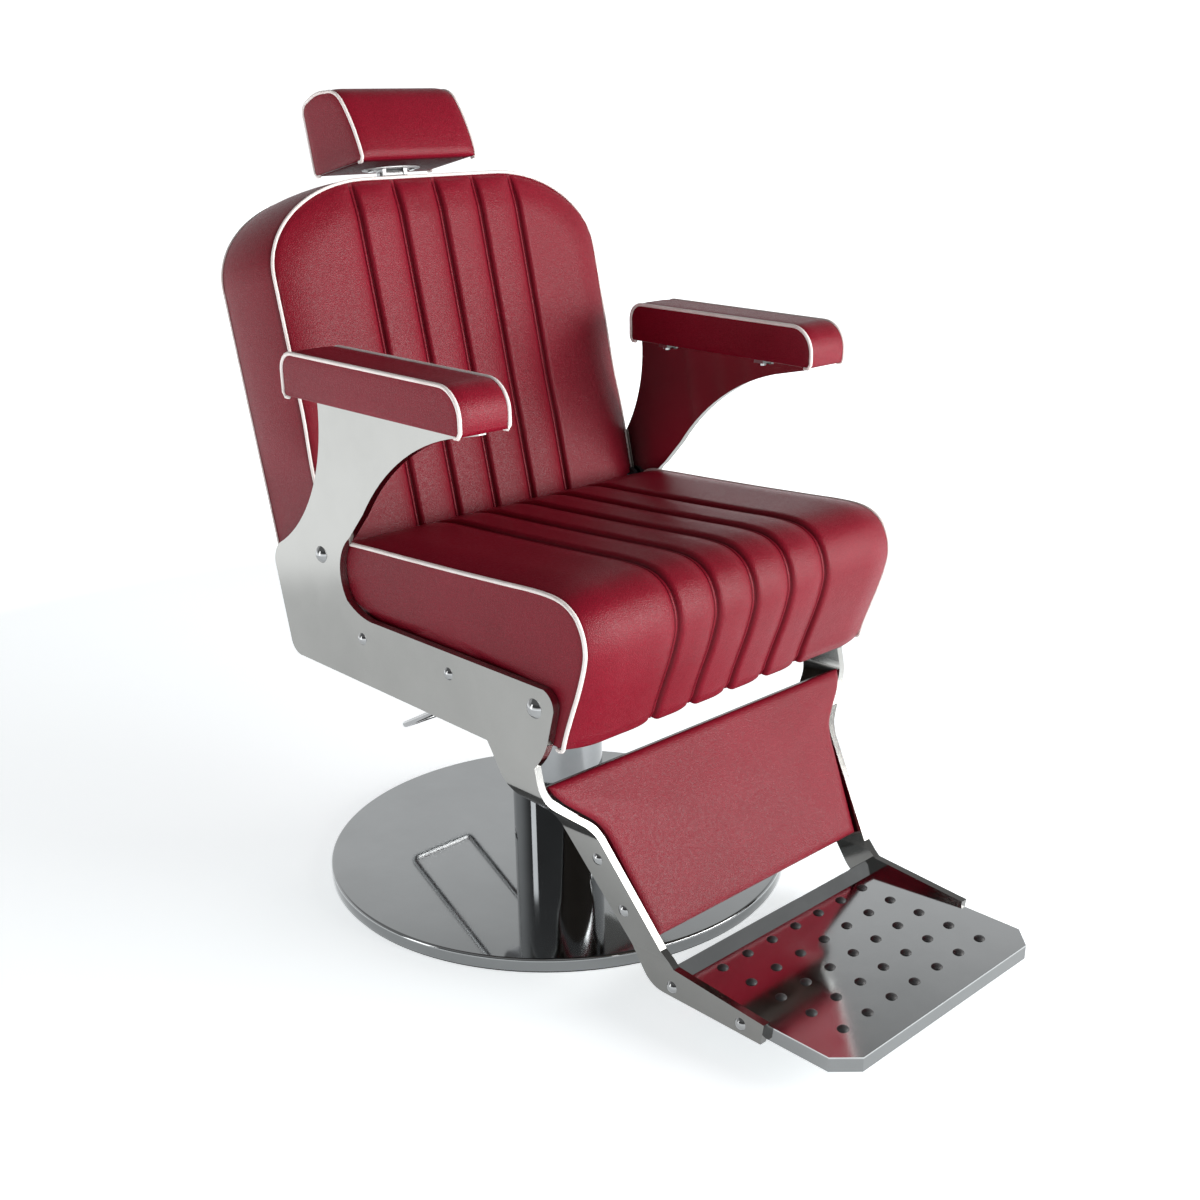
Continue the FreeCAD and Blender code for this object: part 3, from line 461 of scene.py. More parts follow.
def tube(name, path, radius, material, body, closed=False, sides=10):
    """A round cord swept along a path of points, with domed ends."""
    path = np.asarray(path, dtype=float)
    count = len(path)
    if closed:
        ahead = np.roll(path, -1, axis=0)
        behind = np.roll(path, 1, axis=0)
    else:
        ahead = np.vstack([path[1:], path[-1:]])
        behind = np.vstack([path[:1], path[:-1]])
    way = ahead - behind
    way /= np.linalg.norm(way, axis=1)[:, None]
    side = np.cross(way[0], (0.3, 0.2, 0.93))
    side /= np.linalg.norm(side)
    rings = []
    for k in range(count):
        side = side - way[k] * np.dot(side, way[k])
        side /= np.linalg.norm(side)
        other = np.cross(way[k], side)
        angles = np.linspace(0, 2 * math.pi, sides, endpoint=False)
        ring = path[k] + radius * (np.cos(angles)[:, None] * side + np.sin(angles)[:, None] * other)
        rings.append(ring)
    faces = []
    if not closed:
        start = path[0] - way[0] * radius * 0.5
        end = path[-1] + way[-1] * radius * 0.5
        rings.insert(0, start + (rings[0] - path[0]) * 0.6)
        rings.append(end + (rings[-1] - path[-1]) * 0.6)
    total = len(rings)
    for k in range(total if closed else total - 1):
        following = (k + 1) % total
        for j in range(sides):
            i = (j + 1) % sides
            faces.append((k * sides + j, k * sides + i, following * sides + i, following * sides + j))
    if not closed:
        faces.append(tuple(range(sides))[::-1])
        faces.append(tuple(range((total - 1) * sides, total * sides)))
    return make_object(name, np.vstack(rings), faces, material, body)


def stitch_row(points, faces, path, normals, pitch, length, radius):
    """Adds short raised threads along a path to a list of points and faces."""
    path = np.asarray(path, dtype=float)
    steps = np.linalg.norm(np.diff(path, axis=0), axis=1)
    run = np.concatenate([[0], np.cumsum(steps)])
    normals = np.asarray(normals, dtype=float)
    sides = 6
    for middle in np.arange(pitch, run[-1] - pitch / 2, pitch):
        centre = np.array([np.interp(middle, run, path[:, k]) for k in range(3)])
        nxt = np.array([np.interp(middle + pitch * 0.3, run, path[:, k]) for k in range(3)])
        normal = np.array([np.interp(middle, run, normals[:, k]) for k in range(3)])
        way = nxt - centre
        way /= np.linalg.norm(way)
        normal = normal - way * np.dot(normal, way)
        normal /= np.linalg.norm(normal)
        side = np.cross(way, normal)
        base = len(points)
        for place, size, lift in ((-0.5, 0.45, -0.5), (-0.3, 1.0, 0.2), (0.3, 1.0, 0.2), (0.5, 0.45, -0.5)):
            spot = centre + way * length * place + normal * radius * lift
            for j in range(sides):
                angle = 2 * math.pi * j / sides
                points.append(spot + radius * size * (math.cos(angle) * side + math.sin(angle) * normal))
        for ring in range(3):
            for j in range(sides):
                i = (j + 1) % sides
                a = base + ring * sides
                b = a + sides
                faces.append((a + j, a + i, b + i, b + j))
        faces.append(tuple(base + j for j in range(sides))[::-1])
        faces.append(tuple(base + 3 * sides + j for j in range(sides)))


def arc3(first, middle, last, count):
    """Points of the circle's arc through three points of a plane."""
    ax, ay = first
    bx, by = middle
    cx, cy = last
    d = 2 * (ax * (by - cy) + bx * (cy - ay) + cx * (ay - by))
    ux = ((ax**2 + ay**2) * (by - cy) + (bx**2 + by**2) * (cy - ay) + (cx**2 + cy**2) * (ay - by)) / d
    uy = ((ax**2 + ay**2) * (cx - bx) + (bx**2 + by**2) * (ax - cx) + (cx**2 + cy**2) * (bx - ax)) / d
    radius = math.hypot(ax - ux, ay - uy)
    start = math.atan2(ay - uy, ax - ux)
    via = math.atan2(by - uy, bx - ux)
    end = math.atan2(cy - uy, cx - ux)
    turn = (end - start) % (2 * math.pi)
    if (via - start) % (2 * math.pi) > turn:
        turn -= 2 * math.pi
    angles = [start + turn * k / count for k in range(count + 1)]
    return [(ux + radius * math.cos(a), uy + radius * math.sin(a)) for a in angles]


def spline(knots, step):
    """Points along a smooth curve through a list of 2-D knots."""
    knots = np.array(knots, dtype=float)
    ends = np.vstack([2 * knots[0] - knots[1], knots, 2 * knots[-1] - knots[-2]])
    points = [knots[0]]
    for a, b, c, d in zip(ends, ends[1:], ends[2:], ends[3:]):
        count = max(2, round(np.linalg.norm(c - b) / step))
        wide = np.linalg.norm(c - b)
        into = (c - a) / max(np.linalg.norm(c - a), 1e-9) * wide
        away = (d - b) / max(np.linalg.norm(d - b), 1e-9) * wide
        for k in range(1, count + 1):
            t = k / count
            points.append((2 * t**3 - 3 * t**2 + 1) * b + (t**3 - 2 * t**2 + t) * into
                          + (3 * t**2 - 2 * t**3) * c + (t**3 - t**2) * away)
    return points


def outline_points(items, step):
    """A list of 2-D points along straight lines and arcs. An arc is given as ("arc", middle, end)."""
    points = [items[0]]
    for item in items[1:]:
        last = points[-1]
        if item[0] == "arc":
            rough = arc3(last, item[1], item[2], 16)
            length = sum(math.dist(a, b) for a, b in zip(rough, rough[1:]))
            points += arc3(last, item[1], item[2], max(3, int(length / step)))[1:]
        else:
            count = max(1, round(math.dist(last, item) / step))
            points += [(last[0] + (item[0] - last[0]) * k / count, last[1] + (item[1] - last[1]) * k / count)
                       for k in range(1, count + 1)]
    return points


# ------------------------------------------------------------------ upholstery shapes
SEAM_PITCH = 0.066
SEAMS = [k * SEAM_PITCH for k in (-2, -1, 0, 1, 2)]
WELT = 0.0026
STITCH_PITCH = 0.0042
STITCH_LENGTH = 0.0029
STITCH_RADIUS = 0.0005
SLOPE_STEP = 0.0005
# The rings of a flat side panel, as shares of the way from its middle to its seam
CAP_SHARES = (0.988, 0.97, 0.945, 0.91, 0.86, 0.80, 0.70, 0.55, 0.35, 0.15)


def fluted_columns(half_width):
    """Column positions across a fluted panel: close together beside each seam and near the sides."""
    near = [0, 0.0012, 0.0020, 0.0026, 0.0032, 0.0042, 0.0060, 0.0085, 0.0120, 0.0165, 0.0210, 0.0265]
    flute = near + [SEAM_PITCH / 2] + [SEAM_PITCH - d for d in near[:0:-1]]
    columns = [s + d for s in SEAMS[:-1] for d in flute]
    last = SEAMS[-1]
    wide = half_width - last
    side = near[:-2] + [0.021 + (wide - 0.021 - 0.02) * k / 14 for k in range(15)]
    side += [wide - d for d in (0.0155, 0.0115, 0.008, 0.005, 0.0028, 0.0012, 0)]
    columns += [last + d for d in side]
    columns = [-c for c in columns if c > last + 1e-9][::-1] + columns
    return np.array(columns)


def seam_distance(x):
    return np.min(np.abs(np.asarray(x)[..., None] - np.array(SEAMS)), axis=-1)


def seam_profile(x, half_width, depth, steep, slow, power):
    """Height across the sewn channels: a narrow folded welt in two grooves between padded flutes.

    Each flute folds up sharply on the right of a seam, within steep, and falls towards the next seam
    over slow. It returns the flutes and the welts apart.
    """
    x = np.asarray(x, dtype=float)
    edges = np.array([-half_width] + SEAMS + [half_width])
    place = np.clip(np.searchsorted(edges, x, side="right") - 1, 0, len(edges) - 2)
    left = np.maximum(x - edges[place] - WELT, 0)
    right = np.maximum(edges[place + 1] - x - WELT, 0)
    left = np.where(place == 0, 1.0, left)
    right = np.where(place == len(edges) - 2, 1.0, right)
    bulge = depth * (round_up(left, steep) * round_up(right, slow)) ** power
    d = seam_distance(x)
    welt = 0.0014 * np.clip(1 - (d / WELT) ** 2, 0, 1)
    groove = 0.0007 * np.exp(-((d - WELT) / 0.0007) ** 2)
    return bulge, welt - groove


def seam_crease(x):
    """Painted shade in the seam grooves: the left groove of each seam is a dark line and the right one, under
    the stitches, is fainter.
    """
    x = np.asarray(x, dtype=float)
    crease = np.zeros_like(x)
    for s in SEAMS:
        crease += 0.75 * np.exp(-((x - s + WELT) / 0.0007) ** 2)
        crease += 0.4 * np.exp(-((x - s - WELT) / 0.0007) ** 2)
    return crease


def round_up(distance, reach):
    """A quarter ellipse that rises from 0 to 1 within the reach."""
    t = np.clip(distance / reach, 0, 1)
    return np.sqrt(np.maximum(1 - (1 - t) ** 2, 0))


def grid_faces(rows, columns, wrap=False):
    faces = []
    for r in range(rows - 1):
        for c in range(columns if wrap else columns - 1):
            d = (c + 1) % columns
            faces.append((r * columns + c, r * columns + d, (r + 1) * columns + d, (r + 1) * columns + c))
    return faces


def perimeter(rows, columns):
    """The border of a grid as a closed loop of vertex numbers."""
    loop = list(range(columns))
    loop += [r * columns + columns - 1 for r in range(1, rows)]
    loop += [(rows - 1) * columns + c for c in range(columns - 2, -1, -1)]
    loop += [r * columns for r in range(rows - 2, 0, -1)]
    return loop


def outward(piece):
    """Makes the faces of a closed mesh look outwards."""
    bm = bmesh.new()
    bm.from_mesh(piece.data)
    bmesh.ops.recalc_face_normals(bm, faces=bm.faces)
    bm.to_mesh(piece.data)
    bm.free()


def close_with_rings(points, creases, faces, loop, rings):
    """Joins rings one after another to a loop of vertex numbers and closes the last with a flat end."""
    total = sum(len(part) for part in points)
    count = len(loop)
    for ring, ring_crease in rings:
        following = list(range(total, total + count))
        points.append(ring)
        creases.append(np.full(count, ring_crease))
        for k in range(count):
            j = (k + 1) % count
            faces.append((loop[k], loop[j], following[j], following[k]))
        loop = following
        total += count
    faces.append(tuple(loop))


def panel_skin(name, grid, rings, crease, body, material=RED):
    """A closed skin: a panel given as a grid, then rings round its border, then a flat end."""
    rows, columns = grid.shape[:2]
    points = [grid.reshape(-1, 3)]
    creases = [np.asarray(crease).reshape(-1)]
    faces = grid_faces(rows, columns)
    close_with_rings(points, creases, faces, perimeter(rows, columns), rings)
    creases = np.concatenate(creases)
    piece = make_object(name, np.vstack(points), faces, material, body, creases)
    outward(piece)
    return piece


def tube_skin(name, loops, caps, crease, body):
    """A closed skin: loops joined side by side, then rings that close each end."""
    count, length = loops.shape[:2]
    points = [loops.reshape(-1, 3)]
    creases = [np.asarray(crease).reshape(-1)]
    faces = grid_faces(count, length, wrap=True)
    for base, rings in zip((0, (count - 1) * length), caps):
        close_with_rings(points, creases, faces, list(range(base, base + length)), rings)
    creases = np.concatenate(creases)
    piece = make_object(name, np.vstack(points), faces, RED, body, creases)
    outward(piece)
    return piece


def end_caps(loop, x, side, crown, centre):
    """Rings that close a flat side panel: it starts in its seam and swells a little inside it."""
    rings = []
    for share in CAP_SHARES:
        ring = centre + (loop - centre) * share
        gap = np.min(np.linalg.norm(ring[:, None, 1:] - loop[None, :, 1:], axis=2), axis=1)
        ring[:, 0] = x + side * crown * round_up(gap, 0.014)
        # painted shade: the outermost cap ring, in the side seam, takes a quarter of the crease shade
        rings.append((ring, 0.25 if share > 0.98 else 0.0))
    return rings


# ------------------------------------------------------------------ back
JOINTS = {joint["name"]: joint for joint in frame["record"]["behaviour"]["joints"]}
RECLINE_AT = JOINTS["recline"]["pos_m"]
LEAN = math.atan(0.228)
BACK_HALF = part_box("back_cushion")[1][0]
BACK_BOTTOM = -0.012
BACK_TOP = 0.446
CORNER_WIDE = 0.163
CORNER_HIGH = 0.108
BACK_DEEP = 0.117
BAND = 0.004
BACK_TAPER = 0.0035
BACK_PIPE = 0.0021
BACK_REAR_PIPE = BACK_PIPE * 0.8
# Each ring round the back's edge: depth, swell outwards, inset and share of painted crease shade
BACK_RINGS = [
    (0.003, 0.0008, 0, 0.6),
    (0.010, 0.0020, 0, 0),
    (0.025, 0.0034, 0, 0),
    (0.045, 0.0042, 0, 0),
    (0.065, 0.0042, 0, 0),
    (0.085, 0.0036, 0, 0),
    (0.102, 0.0024, 0, 0),
    (0.112, 0.0010, 0, 0.2),
    (BACK_DEEP, 0, 0, 0.6),
    (BACK_DEEP, 0, 0.0030, 0.8),
    (0.112, 0, 0.0036, 0.8),
    (0.1075, 0, 0.0118, 0),
    (0.0905, 0, 0.0118, 0),
]


def leaned(x, n, u):
    """From the back's upright frame, across, backwards and upwards from the pin, to the chair."""
    x, n, u = np.broadcast_arrays(x, n, u)
    y = RECLINE_AT[1] + n * math.cos(LEAN) + u * math.sin(LEAN)
    z = RECLINE_AT[2] - n * math.sin(LEAN) + u * math.cos(LEAN)
    return np.stack([x, y, z], axis=-1)


def back_taper(u):
    """How far each side of the back's front edge is pulled in: nothing at its foot, all from 0.18 m up."""
    return BACK_TAPER * smoothstep(u, 0.10, 0.18)


def back_top_at(x):
    over = np.clip((np.abs(x) - (BACK_HALF - CORNER_WIDE)) / CORNER_WIDE, 0, 1)
    return BACK_TOP - CORNER_HIGH * (1 - np.sqrt(1 - over**2))


def back_bottom_at(x):
    radius = 0.015
    over = np.clip((np.abs(x) - (BACK_HALF - radius)) / radius, 0, 1)
    return BACK_BOTTOM + radius * (1 - np.sqrt(1 - over**2))


def back_edge():
    """The outline of the back's sides and top, from lower left to lower right, with outward normals."""
    left = [(-BACK_HALF, u) for u in np.linspace(BACK_BOTTOM, BACK_TOP - CORNER_HIGH, 60)[:-1]]
    angles = np.linspace(0, math.pi / 2, 40)
    turn_x = -(BACK_HALF - CORNER_WIDE)
    turn_u = BACK_TOP - CORNER_HIGH
    corner = [(turn_x - CORNER_WIDE * math.cos(a), turn_u + CORNER_HIGH * math.sin(a)) for a in angles]
    top = [(x, BACK_TOP) for x in np.linspace(turn_x, 0, 26)[1:]]
    half = left + corner + top
    whole = np.array(half + [(-x, u) for x, u in half[-2::-1]])
    way = np.gradient(whole, axis=0)
    way /= np.linalg.norm(way, axis=1)[:, None]
    normal = np.stack([-way[:, 1], way[:, 0]], axis=1)
    return whole, normal


EDGE, EDGE_NORMAL = back_edge()


def edge_distance(x, u):
    """Distance to the outline and how much the outline there faces upwards."""
    flat = np.stack([np.ravel(x), np.ravel(u)], axis=1)
    gap = np.linalg.norm(flat[:, None, :] - EDGE[None, :, :], axis=2)
    nearest = np.argmin(gap, axis=1)
    closest = gap[np.arange(len(flat)), nearest]
    return closest.reshape(np.shape(x)), EDGE_NORMAL[nearest, 1].reshape(np.shape(x))


def back_height(x, u):
    """How far the back's front leather stands ahead of the piping."""
    out, upward = edge_distance(x, u)
    inside = np.abs(x) < SEAMS[-1]
    band = BAND * smoothstep(upward, 0.55, 0.95)
    end = np.maximum(out - band, 0)
    bulge, welt = seam_profile(x, BACK_HALF, depth=0.0078, steep=0.0055, slow=0.036, power=1.0)
    cap = round_up(end, np.where(inside, 0.020, 0.034))
    return 0.0050 * smoothstep(out, 0.0, 0.05) + bulge * cap + welt * smoothstep(end, 0.0, 0.008)


def make_back():
    columns = fluted_columns(BACK_HALF)
    rows = np.linspace(0, 1, 118)
    rows = 1 - (1 - rows) ** 1.12
    x = np.broadcast_to(columns, (len(rows), len(columns)))
    low = back_bottom_at(columns)
    high = back_top_at(columns)
    u = low + rows[:, None] * (high - low)
    front = back_height(x, u)
    front[:, 0] = front[:, -1] = 0
    front[-1, :] = 0
    grid = leaned(x, -front, u)
    out = edge_distance(x, u)[0]
    # painted shade: dark lines in the seam grooves and along the outline next to the piping
    crease = np.clip(seam_crease(x) + 0.5 * np.exp(-(out / 0.003) ** 2), 0, 1)
    grid[..., 0] *= 1 - back_taper(u) / BACK_HALF

    loop = perimeter(*u.shape)
    border_x = x.reshape(-1)[loop]
    border_u = u.reshape(-1)[loop]
    gap = np.hypot(border_x[:, None] - EDGE[:, 0], border_u[:, None] - EDGE[:, 1])
    nearest = np.argmin(gap, axis=1)
    normal = EDGE_NORMAL[nearest].copy()
    at_bottom = border_u < BACK_BOTTOM + 0.016
    normal[at_bottom & (np.abs(border_x) < BACK_HALF - 0.02)] = (0, -1)
    free = smoothstep(border_u, 0.085, 0.17)
    rings = []
    for n, swell, inset, dark in BACK_RINGS:
        taper = back_taper(border_u) * max(0, 1 - n / BACK_DEEP)
        shift = swell * free + 0.0007 - inset
        ring_x = border_x * (1 - taper / BACK_HALF) + normal[:, 0] * shift
        ring_u = border_u + normal[:, 1] * shift
        rings.append((leaned(ring_x, np.full_like(ring_x, n), ring_u), dark))
    skin = panel_skin("back_skin", grid, rings, crease, "back")
    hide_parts("back_cushion")

    edge_x = EDGE[:, 0] * (1 - back_taper(EDGE[:, 1]) / BACK_HALF)
    front_u = EDGE[:, 1] + EDGE_NORMAL[:, 1] * 0.001
    front_line = leaned(edge_x + EDGE_NORMAL[:, 0] * 0.001, np.full(len(EDGE), -0.0008), front_u)
    tube("back_piping_front", front_line, BACK_PIPE, PIPING, "back")
    rear_edge = EDGE + EDGE_NORMAL * 0.0006
    rear_line = leaned(rear_edge[:, 0], np.full(len(EDGE), BACK_DEEP + 0.001), rear_edge[:, 1])
    tube("back_piping_rear", rear_line, BACK_REAR_PIPE, PIPING, "back")

    points, faces = [], []
    for s in SEAMS:
        us = np.linspace(0.004, back_top_at(s) - 0.006, 160)
        xs = np.full_like(us, s + WELT)
        path = leaned(xs, -back_height(xs, us), us)
        rise = back_height(xs + SLOPE_STEP, us) - back_height(xs - SLOPE_STEP, us)
        slope = rise / (2 * SLOPE_STEP)
        tip = leaned(xs - slope * 0.01, -back_height(xs, us) - 0.01, us)
        stitch_row(points, faces, path, tip - path, STITCH_PITCH, STITCH_LENGTH, STITCH_RADIUS)
    make_object("back_stitches", points, faces, THREAD, "back")


def make_back_rear():
    """The plain leather panel behind the back, on its board, with a stitched border."""
    inset = 0.0045
    seam_in = 0.018
    columns = np.sin(np.linspace(-math.pi / 2, math.pi / 2, 60)) * (BACK_HALF - inset)
    rows = np.linspace(0, 1, 60)
    rows = 0.5 - 0.5 * np.cos(math.pi * rows)
    x = np.broadcast_to(columns, (len(rows), len(columns)))
    scale = BACK_HALF / (BACK_HALF - inset)
    low = back_bottom_at(columns * scale) + inset - 0.004
    high = back_top_at(columns * scale) - inset
    u = low + rows[:, None] * (high - low)
    out = np.minimum(edge_distance(x, u)[0] - inset, u - BACK_BOTTOM)
    swell = 0.0055 * round_up(np.maximum(out, 0), 0.03) + 0.003 * smoothstep(out, 0, 0.14)
    swell -= 0.0016 * np.exp(-((out - seam_in) / 0.0016) ** 2)
    # painted shade: a dark line in the groove of the border seam
    crease = 0.7 * np.exp(-((out - seam_in) / 0.0014) ** 2)
    grid = leaned(x, 0.1145 + swell, u)
    loop = perimeter(*u.shape)
    border_x = x.reshape(-1)[loop]
    border_u = u.reshape(-1)[loop]
    # painted shade: the edge rings take half the crease shade
    rings = [(leaned(border_x, np.full_like(border_x, n), border_u), 0.5) for n in (0.1125, 0.1085)]
    panel = panel_skin("back_rear_panel", grid, rings, crease, "back")
    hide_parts("back_cover")


# ------------------------------------------------------------------ seat
SEAT_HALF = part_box("seat_cushion")[1][0]
# The seat's side outline in Y and Z, from the lower rear over the top to the lower front
SEAT_LINE = [
    (0.098, 0.346), (0.098, 0.420), (0.098, 0.486), (0.0935, 0.4985), (0.081, 0.5052),
    (0.054, 0.5080), (-0.033, 0.5122), (-0.129, 0.5170), (-0.219, 0.5222), (-0.285, 0.5258),
    (-0.3175, 0.5232), (-0.338, 0.5128), (-0.3488, 0.4972), (-0.3536, 0.4800), (-0.3532, 0.4640),
    (-0.3440, 0.4310), (-0.3305, 0.3955), (-0.3195, 0.3660), (-0.3148, 0.3495),
]
SEAT_PIPE = 0.0026
SEAT_BOARD_HALF = 0.2635
SEAT_RECESS = [(-0.2915, 0.3475), (-0.2915, 0.4085), (0.0895, 0.4085), (0.0895, 0.346)]


def line_normals(line):
    way = np.gradient(line, axis=0)
    way /= np.linalg.norm(way, axis=1)[:, None]
    return np.stack([way[:, 1], -way[:, 0]], axis=1)


def seat_shape():
    line = np.array(spline(SEAT_LINE, 0.0038))
    normals = line_normals(line)
    run = np.concatenate([[0], np.cumsum(np.linalg.norm(np.diff(line, axis=0), axis=1))])
    return line, normals, run


def seat_height(x, run):
    """How far the seat's leather stands off the line of its side piping."""
    gap = np.maximum(SEAT_HALF - np.abs(x), 0)
    active = smoothstep(run, 0.15, 0.22)
    bulge, welt = seam_profile(x, SEAT_HALF, depth=0.0058, steep=0.0075, slow=0.032, power=1.15)
    return active * (0.0038 * smoothstep(gap, 0, 0.05) + bulge * round_up(gap, 0.034) + 0.7 * welt)


def side_tuck(y, z):
    """The share, 0 to 1, by which the seat's sides are pulled in low down and behind the front roll."""
    return smoothstep(0.432 - z, 0.0, 0.016) * smoothstep(y, -0.255, -0.215)


def make_seat():
    line, normals, run = seat_shape()
    total = run[-1]
    columns = fluted_columns(SEAT_HALF)
    x, s = np.meshgrid(columns, run, indexing="ij")
    height = seat_height(x, s)
    y = line[:, 0] + normals[:, 0] * height
    z = line[:, 1] + normals[:, 1] * height
    hem = smoothstep(s, total - 0.035, total)
    z = z - 0.0030 * hem * (height / 0.011)
    y = y + 0.003 * smoothstep(s, total - 0.012, total)
    half = SEAT_HALF - 0.0045 * side_tuck(y, z)
    edge = np.abs(x) / SEAT_HALF
    x_shown = np.sign(x) * np.where(edge > 0.9, np.minimum(np.abs(x), half), np.abs(x))
    wrap = np.stack([x_shown, y, z], axis=-1)

    recess = np.array(outline_points([tuple(line[-1])] + SEAT_RECESS + [tuple(line[0])], 0.02))[1:-1]
    under = np.zeros((len(columns), len(recess), 3))
    under[..., 0] = columns[:, None]
    inner = np.abs(columns)[:, None] < SEAT_BOARD_HALF
    flat = np.linspace(line[-1], line[0], len(recess) + 2)[1:-1]
    under[..., 1] = np.where(inner, recess[:, 0], flat[:, 0])
    under[..., 2] = np.where(inner, recess[:, 1], flat[:, 1])
    loops = np.concatenate([wrap, under], axis=1)
    # painted shade: dark lines in the seam grooves, from where the flutes begin, and along both sides next to
    # the piping
    crease = seam_crease(x) * smoothstep(s, 0.15, 0.2)
    crease += 0.5 * np.exp(-((SEAT_HALF - np.abs(x)) / 0.0025) ** 2)
    crease = np.concatenate([np.clip(crease, 0, 1), np.zeros(under.shape[:2])], axis=1)
    centre = np.array([0, -0.11, 0.44])
    caps = [
        end_caps(loops[0], -SEAT_HALF, -1, 0.0018, centre),
        end_caps(loops[-1], SEAT_HALF, 1, 0.0018, centre),
    ]
    for rings in caps:
        for ring, _ in rings:
            ring[:, 0] -= np.sign(ring[:, 0]) * 0.0058 * side_tuck(ring[:, 1], ring[:, 2])
    skin = tube_skin("seat_skin", loops, caps, crease, "seat")
    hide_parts("seat_cushion")

    start = int(np.argmax(run > 0.125))
    for name, side in (("right", -1), ("left", 1)):
        stood = line[start:] + normals[start:] * 0.0010
        path = np.stack([np.full(len(stood), side * (SEAT_HALF + 0.0006)), stood[:, 0], stood[:, 1]], axis=1)
        curl = path[-1] + np.array([[0, 0.002, -0.0025], [0, 0.006, -0.0035], [0, 0.010, -0.0020]])
        tube("seat_piping_" + name, np.vstack([path, curl]), SEAT_PIPE, PIPING, "seat")

    points, faces = [], []
    keep = run > 0.17
    for seam_x in SEAMS:
        xs = np.full(keep.sum(), seam_x + WELT)
        height = seat_height(xs, run[keep])
        rise = seat_height(xs + SLOPE_STEP, run[keep]) - seat_height(xs - SLOPE_STEP, run[keep])
        slope = rise / (2 * SLOPE_STEP)
        stood = line[keep] + normals[keep] * height[:, None]
        path = np.stack([xs, stood[:, 0], stood[:, 1]], axis=1)
        tips = np.stack([-slope, normals[keep, 0], normals[keep, 1]], axis=1)
        stitch_row(points, faces, path[:-6], tips[:-6], STITCH_PITCH, STITCH_LENGTH, STITCH_RADIUS)
    make_object("seat_stitches", points, faces, THREAD, "seat")


# ------------------------------------------------------------------ armrests and headrest
ARM_BORDER = 0.0045
HEADREST_BOARD_HALF = 0.0785


def wrapped_pad(name, line, recess, box, board_half, place, body, node,
                crown, side_crown, centre, pipe):
    """A pad with a panel wrapped round its outline, a hollow for its board and two piped side panels."""
    x0, x1 = box[0][0], box[1][0]
    line = np.array(line)
    middle = (x0 + x1) / 2
    half = (x1 - x0) / 2
    t = np.sin(np.linspace(-math.pi / 2, math.pi / 2, 34))
    columns = middle + half * t
    normals = line_normals(line)
    lift = crown * round_up(half - np.abs(columns - middle), min(0.02, half))
    ends = np.linspace(0, 1, len(line))
    keep = np.minimum(smoothstep(ends, 0.0, 0.03), smoothstep(1 - ends, 0.0, 0.03))
    wrap = line[None, :, :] + normals[None, :, :] * lift[:, None, None] * keep[None, :, None]
    recess = np.array(recess)
    inner = np.abs(columns - middle) < board_half
    under = np.repeat(recess[None, :, :], len(columns), axis=0)
    under[~inner] = np.linspace(line[-1], line[0], len(recess) + 2)[1:-1]
    flat = np.concatenate([wrap, under], axis=1)
    loops = place(columns[:, None], flat[..., 0], flat[..., 1])
    crease = np.zeros(loops.shape[:2])
    # painted shade: a dark line along both side seams next to the piping
    crease += 0.5 * np.exp(-((half - np.abs(columns - middle)) / 0.0022) ** 2)[:, None]
    caps = [end_caps(loops[0], x0, -1, side_crown, centre), end_caps(loops[-1], x1, 1, side_crown, centre)]
    skin = tube_skin(name + "_skin", loops, caps, crease, body)
    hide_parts(node)
    for label, x, side in (("a", x0, -1), ("b", x1, 1)):
        seam = line + normals * 0.0008
        hem = line[0, 1] - 0.0012
        first = [(seam[0, 0] + 0.010 * turn, hem) for turn in (-1, -0.4)]
        last = [(seam[-1, 0] + 0.010 * turn, hem) for turn in (0.4, 1)]
        seam = np.vstack([first, seam[1:-1], last])
        path = place(np.full(len(seam), x + side * 0.0004), seam[:, 0], seam[:, 1])
        tube(f"{name}_piping_{label}", path, pipe, PIPING, body)


def upright_place(x, y, z):
    return np.stack(np.broadcast_arrays(x, y, z), axis=-1)


def make_armrests():
    low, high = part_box("arm_pad_left")
    bottom, top = low[2], high[2]
    front, rear = low[1], high[1]
    line = outline_points([
        (rear, bottom),
        (rear, top - 0.020),
        ("arc", (rear - 0.00586, top - 0.00586), (rear - 0.020, top)),
        (front + 0.032, top),
        ("arc", (front + 0.00937, top - 0.00937), (front, top - 0.032)),
        (front, bottom),
    ], 0.0045)
    board_front, board_rear, board_top = front + 0.0115, rear - 0.0115, bottom + 0.0125
    recess = outline_points([
        (board_front, bottom), (board_front, board_top), (board_rear, board_top), (board_rear, bottom),
    ], 0.02)
    for name in ("left", "right"):
        node = "arm_pad_" + name
        low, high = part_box(node)
        centre = np.array([(low[0] + high[0]) / 2, (front + rear) / 2, (bottom + top) / 2])
        board_half = (high[0] - low[0]) / 2 - ARM_BORDER
        wrapped_pad("arm_" + name, line, recess, (low, high), board_half, upright_place, "seat", node,
                    crown=0.0030, side_crown=0.0018, centre=centre, pipe=0.0024)


def make_headrest_underside():
    """Thin leather that closes the headrest below its board, in a darker copy of the leather as painted
    shade.
    """
    half, front, rear = 0.0895, 0.0175, 0.1240
    x = np.linspace(-half, half, 40)
    n = np.linspace(front, rear, 26)
    grid_x, grid_n = np.meshgrid(x, n)
    gap = np.minimum(half - np.abs(grid_x), np.minimum(grid_n - front, rear - grid_n))
    grid = leaned(grid_x, grid_n, 0.4722 - 0.0009 * round_up(gap, 0.01))
    loop = perimeter(*grid_x.shape)
    border = leaned(grid_x.reshape(-1)[loop], grid_n.reshape(-1)[loop], 0.4727)
    # painted shade: the darker leather copy, with a little crease shade on its border ring
    panel_skin("headrest_underside", grid, [(border, 0.2)], np.zeros_like(grid_x), "headrest", RED_PAINTED_SHADE)


